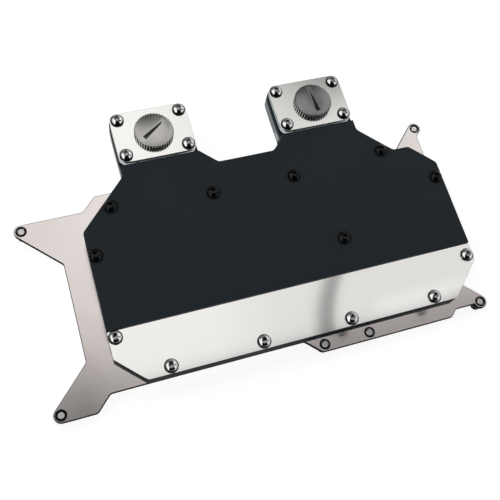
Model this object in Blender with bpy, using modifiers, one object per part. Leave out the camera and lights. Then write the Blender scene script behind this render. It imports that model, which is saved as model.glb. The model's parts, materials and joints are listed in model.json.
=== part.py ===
"""Water block for a graphics card: a finned cold plate under a dark housing, its covers, a mounting frame
with threaded standoffs, and two port towers whose front ports are closed by knurled plugs.

Lengths are metres. X runs along the block, Y from the strip towards the ports, Z up from the circuit board.
Places are measured from the block's datum: the left end of the body, the seam between cover and strip, and
the board's surface. The datum stands so that the origin is under the middle of the whole block.
"""

import math

import bmesh
import bpy
from mathutils import Matrix, Vector

# Clearances
SEAT_GAP = 0.0003           # between two pieces that rest on each other
SIDE_GAP = 0.0003           # around a piece in its hole, pocket or groove

# Circuit board's layout that the block is drawn around
CHIP_Y = 0.0220             # from the seam to the processor's middle
CHIP_SCREW_REACH = 0.0266   # from the processor's middle to its screws, along X and along Y
LEFT_PORT_X = 0.0382
PORT_PITCH = 0.0721
RIGHT_PORT_X = LEFT_PORT_X + PORT_PITCH
CHIP_X = LEFT_PORT_X + PORT_PITCH / 2

# Port plates, each on a tower behind the body's rear edge
REAR_ROOM = 0.0129          # from the processor's screws to the rear edge
REAR_EDGE = CHIP_Y + CHIP_SCREW_REACH + REAR_ROOM
TOWER_SETBACK = 0.0073      # from the rear edge to the port plates
PORT_PLATE_WIDTH = 0.0337
PORT_PLATE_DEPTH = 0.0236
PORT_FILLET = 0.0035
TOWER_MARGIN = 0.00035      # tower past the port plate on each side
PORT_SCREW_INSET = 0.00335  # from the port plate's sides
BORE_OFFSET = -0.0017       # the bore sits forward of the plate's middle
BORE_RADIUS = 0.00573       # inside the thread of a quarter-inch port
BORE_STEPS = 24
TOWER_HALF = PORT_PLATE_WIDTH / 2 + TOWER_MARGIN
TOWER_FRONT = REAR_EDGE + TOWER_SETBACK
TOWER_REAR = TOWER_FRONT + PORT_PLATE_DEPTH
PORT_Y = (TOWER_FRONT + TOWER_REAR) / 2
BORE_Y = PORT_Y + BORE_OFFSET
LEFT_TOWER_OUTER = LEFT_PORT_X - TOWER_HALF
LEFT_TOWER_INNER = LEFT_PORT_X + TOWER_HALF
RIGHT_TOWER_INNER = RIGHT_PORT_X - TOWER_HALF
RIGHT_TOWER_OUTER = RIGHT_PORT_X + TOWER_HALF

# Body outline, shared by the cold plate, the housing and the covers; its slopes run at 45 degrees
RIGHT_END = 0.0481          # from the right port to the right edge
BODY_LENGTH = RIGHT_PORT_X + RIGHT_END
STRIP_DEPTH = 0.0222        # from the seam to the front edge
FRONT_LEFT_CHAMFER = 0.0111
FRONT_RIGHT_CHAMFER = 0.0146
LEFT_SLOPE_RISE = 0.0019    # top of the left slope over the rear edge
LEFT_RAMP_STOP = 0.0004     # slopes between the towers end short of the port plates
RIGHT_RAMP_STOP = 0.0016
SHOULDER_DROP = 0.0113      # shoulder below the rear edge
SHOULDER_RAMP = 0.0133      # slope from the right tower down to the shoulder
SHOULDER_LENGTH = 0.0074
OUTLINE_FILLET = 0.0025
SHARP_FILLET = 0.0010
LEFT_SLOPE_TOP = REAR_EDGE + LEFT_SLOPE_RISE
LEFT_EDGE_TOP = LEFT_SLOPE_TOP - LEFT_TOWER_OUTER
SHOULDER_Y = REAR_EDGE - SHOULDER_DROP
SHOULDER_START = RIGHT_TOWER_OUTER + SHOULDER_RAMP
SHOULDER_END = SHOULDER_START + SHOULDER_LENGTH

# Heights above the board, from the bottom up
FRAME_HEIGHT = 0.0040       # underside of the frame, and length of the standoffs below it
FRAME_THICKNESS = 0.0020
STAGE_HEIGHT = 0.0044       # underside of the cold plate inside the frame's window and in the towers
FLANGE_THICKNESS = 0.0025   # cold plate over the frame
TOWER_HOUSING_HEIGHT = 0.0034
HOUSING_HEIGHT = 0.0040
COVER_THICKNESS = 0.00136
STRIP_THICKNESS = 0.00100
PORT_BLOCK_HEIGHT = 0.0020
PORT_PLATE_THICKNESS = 0.0006
FRAME_TOP = FRAME_HEIGHT + FRAME_THICKNESS
FLANGE_BOTTOM = FRAME_TOP + SEAT_GAP
COLD_TOP = FLANGE_BOTTOM + FLANGE_THICKNESS
HOUSING_BOTTOM = COLD_TOP + SEAT_GAP
TOWER_HOUSING_TOP = HOUSING_BOTTOM + TOWER_HOUSING_HEIGHT
HOUSING_TOP = HOUSING_BOTTOM + HOUSING_HEIGHT
COVER_BOTTOM = HOUSING_TOP + SEAT_GAP
COVER_TOP = COVER_BOTTOM + COVER_THICKNESS
STRIP_TOP = COVER_BOTTOM + STRIP_THICKNESS
PORT_BLOCK_BOTTOM = TOWER_HOUSING_TOP + SEAT_GAP
PORT_BLOCK_TOP = PORT_BLOCK_BOTTOM + PORT_BLOCK_HEIGHT
PORT_PLATE_BOTTOM = PORT_BLOCK_TOP + SEAT_GAP
PORT_PLATE_TOP = PORT_PLATE_BOTTOM + PORT_PLATE_THICKNESS

# Button-head screws with a hexagon socket
SCREW_RADIUS = 0.00145
SCREW_HEAD_RADIUS = 0.00285
SCREW_HEAD_HEIGHT = 0.00165
SCREW_RIM = 0.0003          # straight edge below the dome
DOME_STEPS = 2
SOCKET_ACROSS = 0.0020
SOCKET_DEPTH = 0.0010
SCREW_FACE_SHARE = 0.62     # radius of the flat top, as a share of the socket's width
SCREW_STEPS = 12
HOLE_STEPS = 10
HOLE_RADIUS = SCREW_RADIUS + SIDE_GAP
FRAME_END_SINK = 0.0003     # screws' ends above the frame's underside
PLATE_END_SINK = 0.0005     # and above the cold plate's
FRAME_SCREW_END = FRAME_HEIGHT + FRAME_END_SINK
PLATE_SCREW_END = STAGE_HEIGHT + PLATE_END_SINK

# Screws of the covers, held at a distance from the outline
EDGE_INSET_LEFT = 0.0028
EDGE_INSET_RIGHT = 0.0031
SLOPE_SCREW_X = 0.0133
SLOPE_SCREW_INSET = 0.0047  # below the left slope
LEFT_SCREW_DROP = 0.0109    # below the left edge's top
RAMP_SCREW_BACK = 0.0059    # from the shoulder towards the right tower
RAMP_SCREW_RISE = 0.0008
RIGHT_SCREW_DROP = 0.0171   # below the shoulder
INNER_SCREW_X = 0.0182      # from the processor's middle
INNER_SCREW_INSET = 0.0138  # from the rear edge
LONE_SCREW_X = 0.0305       # from the processor's middle
LONE_SCREW_Y = -0.0070
COVER_SCREWS = (
    (SLOPE_SCREW_X, LEFT_EDGE_TOP + SLOPE_SCREW_X - SLOPE_SCREW_INSET),
    (EDGE_INSET_LEFT, LEFT_EDGE_TOP - LEFT_SCREW_DROP),
    (SHOULDER_START - RAMP_SCREW_BACK, SHOULDER_Y + RAMP_SCREW_RISE),
    (BODY_LENGTH - EDGE_INSET_RIGHT, SHOULDER_Y - RIGHT_SCREW_DROP),
)
INNER_COVER_SCREWS = (
    (CHIP_X - INNER_SCREW_X, REAR_EDGE - INNER_SCREW_INSET),
    (CHIP_X + INNER_SCREW_X, REAR_EDGE - INNER_SCREW_INSET),
    (CHIP_X + LONE_SCREW_X, CHIP_Y + LONE_SCREW_Y),
)
LEFT_END_SHARE = 0.26       # place of the strip's end screws down its straight ends
RIGHT_END_SHARE = 0.67
STRIP_EDGE_INSET = 0.0031
STRIP_ROW_INSET = 0.00965   # from the front chamfers to the first and last screw of the row
STRIP_ROW_COUNT = 4

# Mounting frame: the arms reach out to the standoffs
FRAME_LEFT = -0.0102
FRAME_RIGHT_REACH = 0.0005  # past the body's right edge
FRAME_RIGHT = BODY_LENGTH + FRAME_RIGHT_REACH
FRAME_INSET = 0.0003        # frame behind the body's rear edges
FRAME_LAP = 0.0070          # rim of the frame under the body
FRAME_SHOULDER_X = 0.0082
FOOT_REACH = 0.0029         # from the front edge out to the standoffs
TAB_LENGTH = 0.0662
TAB_STEP = 0.0030
TAB_INSET = 0.0156          # from the right edge to the tab
TAB_END = BODY_LENGTH - TAB_INSET
TAB_START = TAB_END - TAB_LENGTH
FOOT_Y = -STRIP_DEPTH - FOOT_REACH
REAR_ARM_REACH = 0.0136     # from the frame's left edge out to the standoffs
FRONT_ARM_REACH = 0.0132
REAR_ARM_DROP = 0.0094      # below the body's rear edge
INNER_FOOT = 0.0080         # from the tab's start
MIDDLE_FOOT = 0.0281
RIGHT_FOOT_INSET = 0.0007
RIGHT_FOOT_RISE = 0.0004
RIGHT_ARM_REACH = 0.0184    # from the shoulder's start
RIGHT_ARM_RISE = 0.0120
STANDOFFS = {
    "rear_left": (FRAME_LEFT - REAR_ARM_REACH, REAR_EDGE - REAR_ARM_DROP),
    "front_left": (FRAME_LEFT - FRONT_ARM_REACH, FOOT_Y),
    "front_inner": (TAB_START + INNER_FOOT, FOOT_Y),
    "front_middle": (TAB_START + MIDDLE_FOOT, FOOT_Y),
    "front_right": (BODY_LENGTH - RIGHT_FOOT_INSET, FOOT_Y + RIGHT_FOOT_RISE),
    "rear_right": (SHOULDER_START + RIGHT_ARM_REACH, SHOULDER_Y + RIGHT_ARM_RISE),
}
ARM_RADIUS = 0.0030
ARM_FILLET = 0.0020
FOOT_ARM = 0.0135           # foot of the front left arm along the front
STANDOFF_RADIUS = 0.0022
SPIGOT_RADIUS = 0.0018
SPIGOT_FACE_RADIUS = 0.0014
SPIGOT_SINK = 0.0001        # spigot's face below the frame's
THREAD_RADIUS = 0.00105
THREAD_DEPTH = 0.0036

# Cold plate: fins over the processor, channels to the ports, pads underneath
CHIP_PAD_SIDE = 0.0380
CHIP_PAD_HEIGHT = 0.0033
CHIP_BOSS_RADIUS = 0.0030
BOSS_STEPS = 12
MEMORY_PAD_HEIGHT = 0.0017
MEMORY_PAD_WIDTH = 0.0120
MEMORY_PAD_LENGTH = 0.0560
MEMORY_PAD = (MEMORY_PAD_WIDTH, MEMORY_PAD_LENGTH, MEMORY_PAD_HEIGHT)
MEMORY_PAD_REACH = 0.0390   # from the processor's middle to the middle of a pad
POWER_PAD_INSET = 0.0194    # from the right edge
POWER_PAD_DROP = 0.0025     # below the processor's middle
POWER_PAD_WIDTH = 0.0120
POWER_PAD_LENGTH = 0.0400
FIN_FIELD = 0.0300
FIN_COUNT = 16
FIN_SLOT = 0.0009
FIN_DEPTH = 0.0034
CHANNEL_WIDTH = 0.0080
CHANNEL_DEPTH = 0.0013      # in the cold plate
CHANNEL_ROOF = 0.0016       # in the housing
PLENUM_WIDTH = 0.0060
LOOP_OFFSET = 0.0045        # from the processor's middle to the front run of the loop over the power pad
LOOP_PITCH = 0.0120         # between the loop's two runs
LOOP_INSET = 0.0114         # from the right edge
LOOP_FRONT_Y = CHIP_Y + LOOP_OFFSET
LOOP_REAR_Y = LOOP_FRONT_Y + LOOP_PITCH
LOOP_END_X = BODY_LENGTH - LOOP_INSET
STAGE_CLEARANCE = 0.0005
PAD_FILLET = 0.0010

# Seals
SEAL_RADIUS = 0.00055
SEAL_WALL = 0.0030          # from the seal's middle to the channel
SEAL_FILLET = 0.0030
PORT_SEAL_MARGIN = 0.0028   # outside the bore
PLUG_SEAL_MARGIN = 0.00097
PORT_SEAL_RADIUS = BORE_RADIUS + PORT_SEAL_MARGIN
PLUG_SEAL_RADIUS = BORE_RADIUS + PLUG_SEAL_MARGIN
PLUG_SEAL_TUBE = 0.00045
GROOVE_DEPTH = 2 * SEAL_RADIUS + SEAT_GAP
RING_STEPS = 20
TUBE_SIDES = 6

# Plate over the fins
FIN_COVER_MARGIN = 0.0020
FIN_COVER_THICKNESS = 0.0008

# Knurled port plugs
PLUG_RIM = 0.00122          # head outside its seal
PLUG_RADIUS = PLUG_SEAL_RADIUS + PLUG_SEAL_TUBE + PLUG_RIM
PLUG_HEAD_HEIGHT = 0.0044
PLUG_EDGE = 0.0003
KNURL_COUNT = 52
KNURL_DEPTH = 0.00032
KNURL_CREST = 0.44          # flat top of a rib, as a share of the knurl's step
PLUG_THREAD_LENGTH = 0.0052
PLUG_THREAD_RADIUS = BORE_RADIUS - SIDE_GAP
PLUG_SLOT_WIDTH = 0.0015
PLUG_SLOT_LENGTH = 0.0115
PLUG_SLOT_DEPTH = 0.0020
SAW_STEPS = 48
LEFT_SLOT_ANGLE = math.radians(33)
RIGHT_SLOT_ANGLE = math.radians(99)

ARC_STEP = math.radians(30)
OVERCUT = 0.0010            # how far a cutter runs past the face it opens
JOIN = 0.0004               # how far two shapes of one piece run into each other

BLOCK_LEFT = STANDOFFS["rear_left"][0] - ARM_RADIUS
BLOCK_RIGHT = STANDOFFS["rear_right"][0] + ARM_RADIUS
BLOCK_FRONT = STANDOFFS["front_left"][1] - ARM_RADIUS


def clear_scene():
    for thing in list(bpy.data.objects):
        bpy.data.objects.remove(thing, do_unlink=True)


def new_collection(name):
    collection = bpy.data.collections.new(name)
    bpy.context.scene.collection.children.link(collection)
    return collection


def new_material(name, colour, metallic, roughness):
    material = bpy.data.materials.new(name)
    material.use_nodes = True
    shader = material.node_tree.nodes["Principled BSDF"]
    shader.inputs["Base Color"].default_value = (*colour, 1.0)
    shader.inputs["Metallic"].default_value = metallic
    shader.inputs["Roughness"].default_value = roughness
    material.diffuse_color = (*colour, 1.0)
    return material


clear_scene()
PARTS = new_collection("gpu_water_block")
CUTTERS = new_collection("cutters")
PLANNED = []
DATUM = bpy.data.objects.new("block_datum", None)
DATUM.location = (-(BLOCK_LEFT + BLOCK_RIGHT) / 2, -(BLOCK_FRONT + TOWER_REAR) / 2, 0)
PARTS.objects.link(DATUM)

STEEL = new_material("satin_steel", (0.78, 0.77, 0.75), 1.0, 0.28)
BRUSHED = new_material("brushed_steel", (0.62, 0.60, 0.58), 1.0, 0.38)
NICKEL = new_material("nickel_plate", (0.58, 0.62, 0.61), 1.0, 0.22)
HOUSING_BLACK = new_material("housing_black", (0.030, 0.036, 0.045), 0.0, 0.45)
COVER_BLACK = new_material("cover_black", (0.020, 0.025, 0.030), 0.2, 0.42)
CHROME = new_material("bright_screw", (0.80, 0.80, 0.80), 1.0, 0.12)
BLACK_SCREW = new_material("black_screw", (0.012, 0.012, 0.014), 0.6, 0.30)
PLUG_METAL = new_material("plug_metal", (0.36, 0.35, 0.34), 1.0, 0.42)
SEAL_RUBBER = new_material("seal_rubber", (0.015, 0.015, 0.016), 0.0, 0.70)


def place(thing, collection):
    """Links an object and hangs it on the datum."""
    collection.objects.link(thing)
    thing.parent = DATUM
    if collection is CUTTERS:
        thing.hide_render = True
        thing.display_type = "WIRE"
    return thing


def shade(mesh):
    mesh.shade_smooth()
    mesh.set_sharp_from_angle(angle=math.radians(32))


def rounded(corners):
    """Closed outline through the corners (x, y, fillet), each fillet an arc limited by its two edges."""
    points = []
    for index, (x, y, fillet) in enumerate(corners):
        corner = Vector((x, y))
        back = Vector(corners[index - 1][:2]) - corner
        ahead = Vector(corners[(index + 1) % len(corners)][:2]) - corner
        half_angle = back.angle(ahead) / 2
        if fillet == 0 or half_angle > math.radians(89):
            points.append(corner)
            continue
        reach = min(fillet / math.tan(half_angle), 0.49 * back.length, 0.49 * ahead.length)
        radius = reach * math.tan(half_angle)
        inwards = (back.normalized() + ahead.normalized()).normalized()
        centre = corner + inwards * radius / math.sin(half_angle)
        sweep = math.pi - 2 * half_angle
        turn = math.copysign(sweep, ahead.cross(back))
        steps = max(2, round(sweep / ARC_STEP))
        spoke = corner + back.normalized() * reach - centre
        for step in range(steps + 1):
            angle = turn * step / steps
            points.append(centre + Matrix.Rotation(angle, 2) @ spoke)
    return [(point.x, point.y) for point in points]


def arc(x, y, radius, start, end, steps):
    """Corners without fillet along an arc, angles in degrees."""
    corners = []
    for step in range(steps + 1):
        angle = math.radians(start + (end - start) * step / steps)
        corners.append((x + radius * math.cos(angle), y + radius * math.sin(angle), 0))
    return corners


def circle(x, y, radius, steps=HOLE_STEPS):
    return [corner[:2] for corner in arc(x, y, radius, 0, 360, steps)[:-1]]


def box_corners(x, y, width, depth, fillet):
    """Corners of a rectangle round a middle point."""
    left = x - width / 2
    right = x + width / 2
    front = y - depth / 2
    rear = y + depth / 2
    return [(left, front, fillet), (right, front, fillet), (right, rear, fillet), (left, rear, fillet)]


def inset(corners, distance):
    """The same corners moved inwards by a distance, for an outline that runs anticlockwise."""
    moved = []
    for index, (x, y, fillet) in enumerate(corners):
        corner = Vector((x, y))
        along_back = (corner - Vector(corners[index - 1][:2])).normalized()
        along_ahead = (Vector(corners[(index + 1) % len(corners)][:2]) - corner).normalized()
        normal_back = Vector((-along_back.y, along_back.x))
        normal_ahead = Vector((-along_ahead.y, along_ahead.x))
        middle = (normal_back + normal_ahead).normalized()
        point = corner + middle * distance / middle.dot(normal_back)
        moved.append((point.x, point.y, fillet))
    return moved


def flat(name, outlines, bottom, top, material=None, collection=PARTS):
    """A flat piece: the first outline is its edge, the others are openings through it."""
    curve = bpy.data.curves.new(name + "_outline", "CURVE")
    curve.dimensions = "2D"
    curve.fill_mode = "BOTH"
    curve.extrude = (top - bottom) / 2
    for outline in outlines:
        spline = curve.splines.new("POLY")
        spline.points.add(len(outline) - 1)
        for point, (x, y) in zip(spline.points, outline):
            point.co = (x, y, 0, 1)
        spline.use_cyclic_u = True
    outline_object = bpy.data.objects.new(name + "_outline", curve)
    outline_object.location.z = (top + bottom) / 2
    place(outline_object, collection)
    bpy.context.view_layer.update()
    depsgraph = bpy.context.evaluated_depsgraph_get()
    mesh = bpy.data.meshes.new_from_object(outline_object.evaluated_get(depsgraph))
    mesh.name = name
    solid = bpy.data.objects.new(name, mesh)
    place(solid, collection)
    solid.matrix_world = outline_object.matrix_world
    bpy.data.objects.remove(outline_object)
    bpy.data.curves.remove(curve)
    shape = bmesh.new()
    shape.from_mesh(mesh)
    bmesh.ops.remove_doubles(shape, verts=shape.verts, dist=1e-6)
    bmesh.ops.recalc_face_normals(shape, faces=shape.faces)
    shape.to_mesh(mesh)
    shape.free()
    mesh.materials.clear()
    if material is not None:
        mesh.materials.append(material)
    shade(mesh)
    return solid


def turned(name, profile, steps, material=None, collection=PARTS):
    """A turned piece: the profile (radius, height) runs down its outer side, from top to bottom."""
    mesh = bpy.data.meshes.new(name)
    shape = bmesh.new()
    corners = [shape.verts.new((radius, 0, height)) for radius, height in profile]
    for upper, lower in zip(corners, corners[1:]):
        shape.edges.new((upper, lower))
    if profile[0][0] > 0:
        shape.edges.new((corners[-1], corners[0]))
    shape.to_mesh(mesh)
    shape.free()
    if material is not None:
        mesh.materials.append(material)
    piece = bpy.data.objects.new(name, mesh)
    place(piece, collection)
    screw = piece.modifiers.new("Turn", "SCREW")
    screw.axis = "Z"
    screw.steps = steps
    screw.render_steps = steps
    screw.use_merge_vertices = True
    screw.merge_threshold = 1e-6
    screw.use_smooth_shade = True
    return piece


def boolean(piece, other, operation):
    modifier = piece.modifiers.new(other.name, "BOOLEAN")
    modifier.operation = operation
    modifier.solver = "EXACT"
    modifier.object = other


def cut(piece, cutter):
    """Notes a cut, made once every flat piece has its mesh."""
    PLANNED.append((piece, cutter, "DIFFERENCE"))


def join(piece, addition):
    PLANNED.append((piece, addition, "UNION"))


def strip_screws():
    """One screw at each end of the strip and a row between them along its front edge."""
    row_start = FRONT_LEFT_CHAMFER + STRIP_ROW_INSET
    row_end = BODY_LENGTH - FRONT_RIGHT_CHAMFER - STRIP_ROW_INSET
    row_y = STRIP_EDGE_INSET - STRIP_DEPTH
    pitch = (row_end - row_start) / (STRIP_ROW_COUNT - 1)
    row = [(row_start + pitch * index, row_y) for index in range(STRIP_ROW_COUNT)]
    left_end = (EDGE_INSET_LEFT, (FRONT_LEFT_CHAMFER - STRIP_DEPTH) * LEFT_END_SHARE)
    right_end = (BODY_LENGTH - EDGE_INSET_RIGHT, (FRONT_RIGHT_CHAMFER - STRIP_DEPTH) * RIGHT_END_SHARE)
    return [left_end, *row, right_end]


def port_screws(port_x):
    half_x = PORT_PLATE_WIDTH / 2 - PORT_SCREW_INSET
    half_y = PORT_PLATE_DEPTH / 2 - PORT_SCREW_INSET
    return [(port_x + side * half_x, PORT_Y + way * half_y) for way in (1, -1) for side in (-1, 1)]


def holes(places, radius=HOLE_RADIUS):
    return [circle(x, y, radius) for x, y in places]


def bore(port_x):
    return circle(port_x, BORE_Y, BORE_RADIUS, BORE_STEPS)


def rear_corners(tower_y, tower_fillet):
    """Rear side of the body from right to left; the towers reach to tower_y."""
    left_ramp = TOWER_SETBACK - LEFT_RAMP_STOP
    right_ramp = TOWER_SETBACK - RIGHT_RAMP_STOP
    return [
        (BODY_LENGTH, SHOULDER_Y - (BODY_LENGTH - SHOULDER_END), OUTLINE_FILLET),
        (SHOULDER_END, SHOULDER_Y, OUTLINE_FILLET),
        (SHOULDER_START, SHOULDER_Y, OUTLINE_FILLET),
        (RIGHT_TOWER_OUTER, SHOULDER_Y + SHOULDER_RAMP, OUTLINE_FILLET),
        (RIGHT_TOWER_OUTER, tower_y, tower_fillet),
        (RIGHT_TOWER_INNER, tower_y, tower_fillet),
        (RIGHT_TOWER_INNER, REAR_EDGE + right_ramp, SHARP_FILLET),
        (RIGHT_TOWER_INNER - right_ramp, REAR_EDGE, OUTLINE_FILLET),
        (LEFT_TOWER_INNER + left_ramp, REAR_EDGE, OUTLINE_FILLET),
        (LEFT_TOWER_INNER, REAR_EDGE + left_ramp, 0),
        (LEFT_TOWER_INNER, tower_y, tower_fillet),
        (LEFT_TOWER_OUTER, tower_y, tower_fillet),
        (LEFT_TOWER_OUTER, LEFT_SLOPE_TOP, SHARP_FILLET),
        (0, LEFT_EDGE_TOP, OUTLINE_FILLET),
    ]


def front_corners():
    """Front side of the body from left to right."""
    return [
        (0, FRONT_LEFT_CHAMFER - STRIP_DEPTH, SHARP_FILLET),
        (FRONT_LEFT_CHAMFER, -STRIP_DEPTH, OUTLINE_FILLET),
        (BODY_LENGTH - FRONT_RIGHT_CHAMFER, -STRIP_DEPTH, OUTLINE_FILLET),
        (BODY_LENGTH, FRONT_RIGHT_CHAMFER - STRIP_DEPTH, SHARP_FILLET),
    ]


def body_outline():
    return rounded(front_corners() + rear_corners(TOWER_REAR, PORT_FILLET))


def window_corners(distance):
    """The body without its towers, moved inwards: the frame's window and what passes through it."""
    body = [
        (0, FRONT_LEFT_CHAMFER - STRIP_DEPTH, OUTLINE_FILLET),
        (FRONT_LEFT_CHAMFER, -STRIP_DEPTH, OUTLINE_FILLET),
        (BODY_LENGTH - FRONT_RIGHT_CHAMFER, -STRIP_DEPTH, OUTLINE_FILLET),
        (BODY_LENGTH, FRONT_RIGHT_CHAMFER - STRIP_DEPTH, OUTLINE_FILLET),
        (BODY_LENGTH, SHOULDER_Y - (BODY_LENGTH - SHOULDER_END), OUTLINE_FILLET),
        (SHOULDER_END, SHOULDER_Y, OUTLINE_FILLET),
        (SHOULDER_START, SHOULDER_Y, OUTLINE_FILLET),
        (SHOULDER_START - SHOULDER_DROP, REAR_EDGE, OUTLINE_FILLET),
        (REAR_EDGE - LEFT_EDGE_TOP, REAR_EDGE, OUTLINE_FILLET),
        (0, LEFT_EDGE_TOP, OUTLINE_FILLET),
    ]
    return inset(body, distance)


def wet_corners(margin):
    """Outline round the coolant path: both towers' bores, the fins and the loop over the power pad."""
    half = BORE_RADIUS + margin
    loop_half = CHANNEL_WIDTH / 2 + margin
    bore_rear = BORE_Y + BORE_RADIUS + margin
    fin_front = CHIP_Y - FIN_FIELD / 2 - margin
    fin_rear = CHIP_Y + FIN_FIELD / 2 + margin
    fin_right = CHIP_X + FIN_FIELD / 2 + PLENUM_WIDTH + margin
    loop_front = LOOP_FRONT_Y - loop_half
    loop_rear = LOOP_REAR_Y + loop_half
    loop_right = LOOP_END_X + margin
    left = LEFT_PORT_X - half
    return [
        (left, fin_front, SEAL_FILLET),
        (fin_right, fin_front, SEAL_FILLET),
        (fin_right, loop_front, SEAL_FILLET),
        (loop_right, loop_front, SEAL_FILLET),
        (loop_right, loop_rear, SEAL_FILLET),
        (RIGHT_PORT_X + half, loop_rear, SEAL_FILLET),
        (RIGHT_PORT_X + half, bore_rear, SEAL_FILLET),
        (RIGHT_PORT_X - half, bore_rear, SEAL_FILLET),
        (RIGHT_PORT_X - half, fin_rear, SEAL_FILLET),
        (LEFT_PORT_X + half, fin_rear, SEAL_FILLET),
        (LEFT_PORT_X + half, bore_rear, SEAL_FILLET),
        (left, bore_rear, SEAL_FILLET),
    ]


def seal_outline(offset):
    """The main seal's path, moved outwards by an offset."""
    return rounded(wet_corners(SEAL_WALL + offset))


def inlet_channel():
    """From the left bore down past the fins' inlet side."""
    half = CHANNEL_WIDTH / 2
    left = LEFT_PORT_X - half
    fin_left = CHIP_X - FIN_FIELD / 2
    front = CHIP_Y - FIN_FIELD / 2
    rear = CHIP_Y + FIN_FIELD / 2
    return rounded([
        (left, front, PAD_FILLET),
        (fin_left, front, 0),
        (fin_left, rear, 0),
        (LEFT_PORT_X + half, rear, PAD_FILLET),
        (LEFT_PORT_X + half, BORE_Y, 0),
        (left, BORE_Y, 0),
    ])


def outlet_channel():
    """From the fins' outlet side out over the power pad and back to the right bore."""
    half = CHANNEL_WIDTH / 2
    fin_right = CHIP_X + FIN_FIELD / 2
    front = CHIP_Y - FIN_FIELD / 2
    rear = CHIP_Y + FIN_FIELD / 2
    plenum = fin_right + PLENUM_WIDTH
    return rounded([
        (fin_right, front, 0),
        (plenum, front, PAD_FILLET),
        (plenum, LOOP_FRONT_Y - half, PAD_FILLET),
        (LOOP_END_X, LOOP_FRONT_Y - half, SEAL_FILLET),
        (LOOP_END_X, LOOP_REAR_Y + half, SEAL_FILLET),
        (RIGHT_PORT_X + half, LOOP_REAR_Y + half, PAD_FILLET),
        (RIGHT_PORT_X + half, BORE_Y, 0),
        (RIGHT_PORT_X - half, BORE_Y, 0),
        (RIGHT_PORT_X - half, LOOP_REAR_Y - half, PAD_FILLET),
        (LOOP_END_X - CHANNEL_WIDTH, LOOP_REAR_Y - half, PAD_FILLET),
        (LOOP_END_X - CHANNEL_WIDTH, LOOP_FRONT_Y + half, PAD_FILLET),
        (plenum, LOOP_FRONT_Y + half, PAD_FILLET),
        (plenum, rear, PAD_FILLET),
        (fin_right, rear, 0),
    ])


def frame_outline():
    """The frame's edge, anticlockwise from the front left standoff; each arm ends in a round tip."""
    reach = ARM_RADIUS * math.sqrt(0.5)
    left_x, left_y = STANDOFFS["rear_left"]
    foot_x, foot_y = STANDOFFS["front_left"]
    low_x, low_y = STANDOFFS["front_right"]
    high_x, high_y = STANDOFFS["rear_right"]
    front_y = -STRIP_DEPTH + FRAME_INSET
    rear_y = REAR_EDGE - FRAME_INSET
    shoulder_y = SHOULDER_Y - FRAME_INSET
    tab_y = foot_y - ARM_RADIUS
    step_y = tab_y + TAB_STEP
    rise = front_y - tab_y
    arm_y = left_y + ARM_RADIUS
    inner_rear = left_y - reach - (FRAME_LEFT - (left_x - reach))
    inner_front = foot_y + reach + (FRAME_LEFT - (foot_x - reach))
    slope_slide = (low_x + low_y + 2 * reach - BODY_LENGTH + STRIP_DEPTH) / 2
    slope_x = BODY_LENGTH - FRONT_RIGHT_CHAMFER / 2 + slope_slide
    slope_y = -STRIP_DEPTH + FRONT_RIGHT_CHAMFER / 2 + slope_slide
    low_start = 180 - math.degrees(math.asin((step_y - low_y) / ARM_RADIUS))
    return rounded([
        *arc(foot_x, foot_y, ARM_RADIUS, 135, 270, 6),
        (foot_x + FOOT_ARM, tab_y, ARM_FILLET),
        (foot_x + FOOT_ARM + rise, front_y, ARM_FILLET),
        (TAB_START, front_y, ARM_FILLET),
        (TAB_START + rise, tab_y, ARM_FILLET),
        (TAB_END, tab_y, ARM_FILLET),
        (TAB_END + TAB_STEP, step_y, ARM_FILLET),
        *arc(low_x, low_y, ARM_RADIUS, low_start, 405, 9),
        (slope_x - SHARP_FILLET, slope_y + SHARP_FILLET, SHARP_FILLET),
        (FRAME_RIGHT, FRONT_RIGHT_CHAMFER - STRIP_DEPTH + OUTLINE_FILLET, ARM_FILLET),
        (FRAME_RIGHT, high_y - ARM_RADIUS - SHARP_FILLET, SHARP_FILLET),
        *arc(high_x, high_y, ARM_RADIUS, -30, 135, 7),
        (high_x - 2 * reach + shoulder_y - high_y, shoulder_y, SHARP_FILLET),
        (SHOULDER_START - FRAME_INSET, shoulder_y, SHARP_FILLET),
        (SHOULDER_START - FRAME_INSET - SHOULDER_DROP, rear_y, ARM_FILLET),
        (FRAME_SHOULDER_X, rear_y, ARM_FILLET),
        (FRAME_SHOULDER_X - (rear_y - arm_y), arm_y, ARM_FILLET),
        *arc(left_x, left_y, ARM_RADIUS, 90, 225, 6),
        (FRAME_LEFT, inner_rear, ARM_FILLET),
        (FRAME_LEFT, inner_front, ARM_FILLET),
    ])


def make_frame_plate():
    openings = [rounded(window_corners(FRAME_LAP))]
    openings += holes([*COVER_SCREWS, *strip_screws()])
    openings += holes(STANDOFFS.values(), SPIGOT_RADIUS + SIDE_GAP)
    flat("frame_plate", [frame_outline(), *openings], FRAME_HEIGHT, FRAME_TOP, BRUSHED)


def make_standoff(name, x, y):
    """Pressed into the frame from below; a blind thread takes the board's screw."""
    spigot_top = FRAME_TOP - SPIGOT_SINK
    collar = FRAME_HEIGHT - SEAT_GAP
    profile = [
        (0, spigot_top),
        (SPIGOT_FACE_RADIUS, spigot_top),
        (SPIGOT_RADIUS, spigot_top - (SPIGOT_RADIUS - SPIGOT_FACE_RADIUS)),
        (SPIGOT_RADIUS, collar),
        (STANDOFF_RADIUS, collar),
        (STANDOFF_RADIUS, 0),
        (THREAD_RADIUS, 0),
        (THREAD_RADIUS, THREAD_DEPTH),
        (0, THREAD_DEPTH),
    ]
    standoff = turned(name + "_standoff", profile, BOSS_STEPS, STEEL)
    standoff.location = (x, y, 0)


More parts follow.
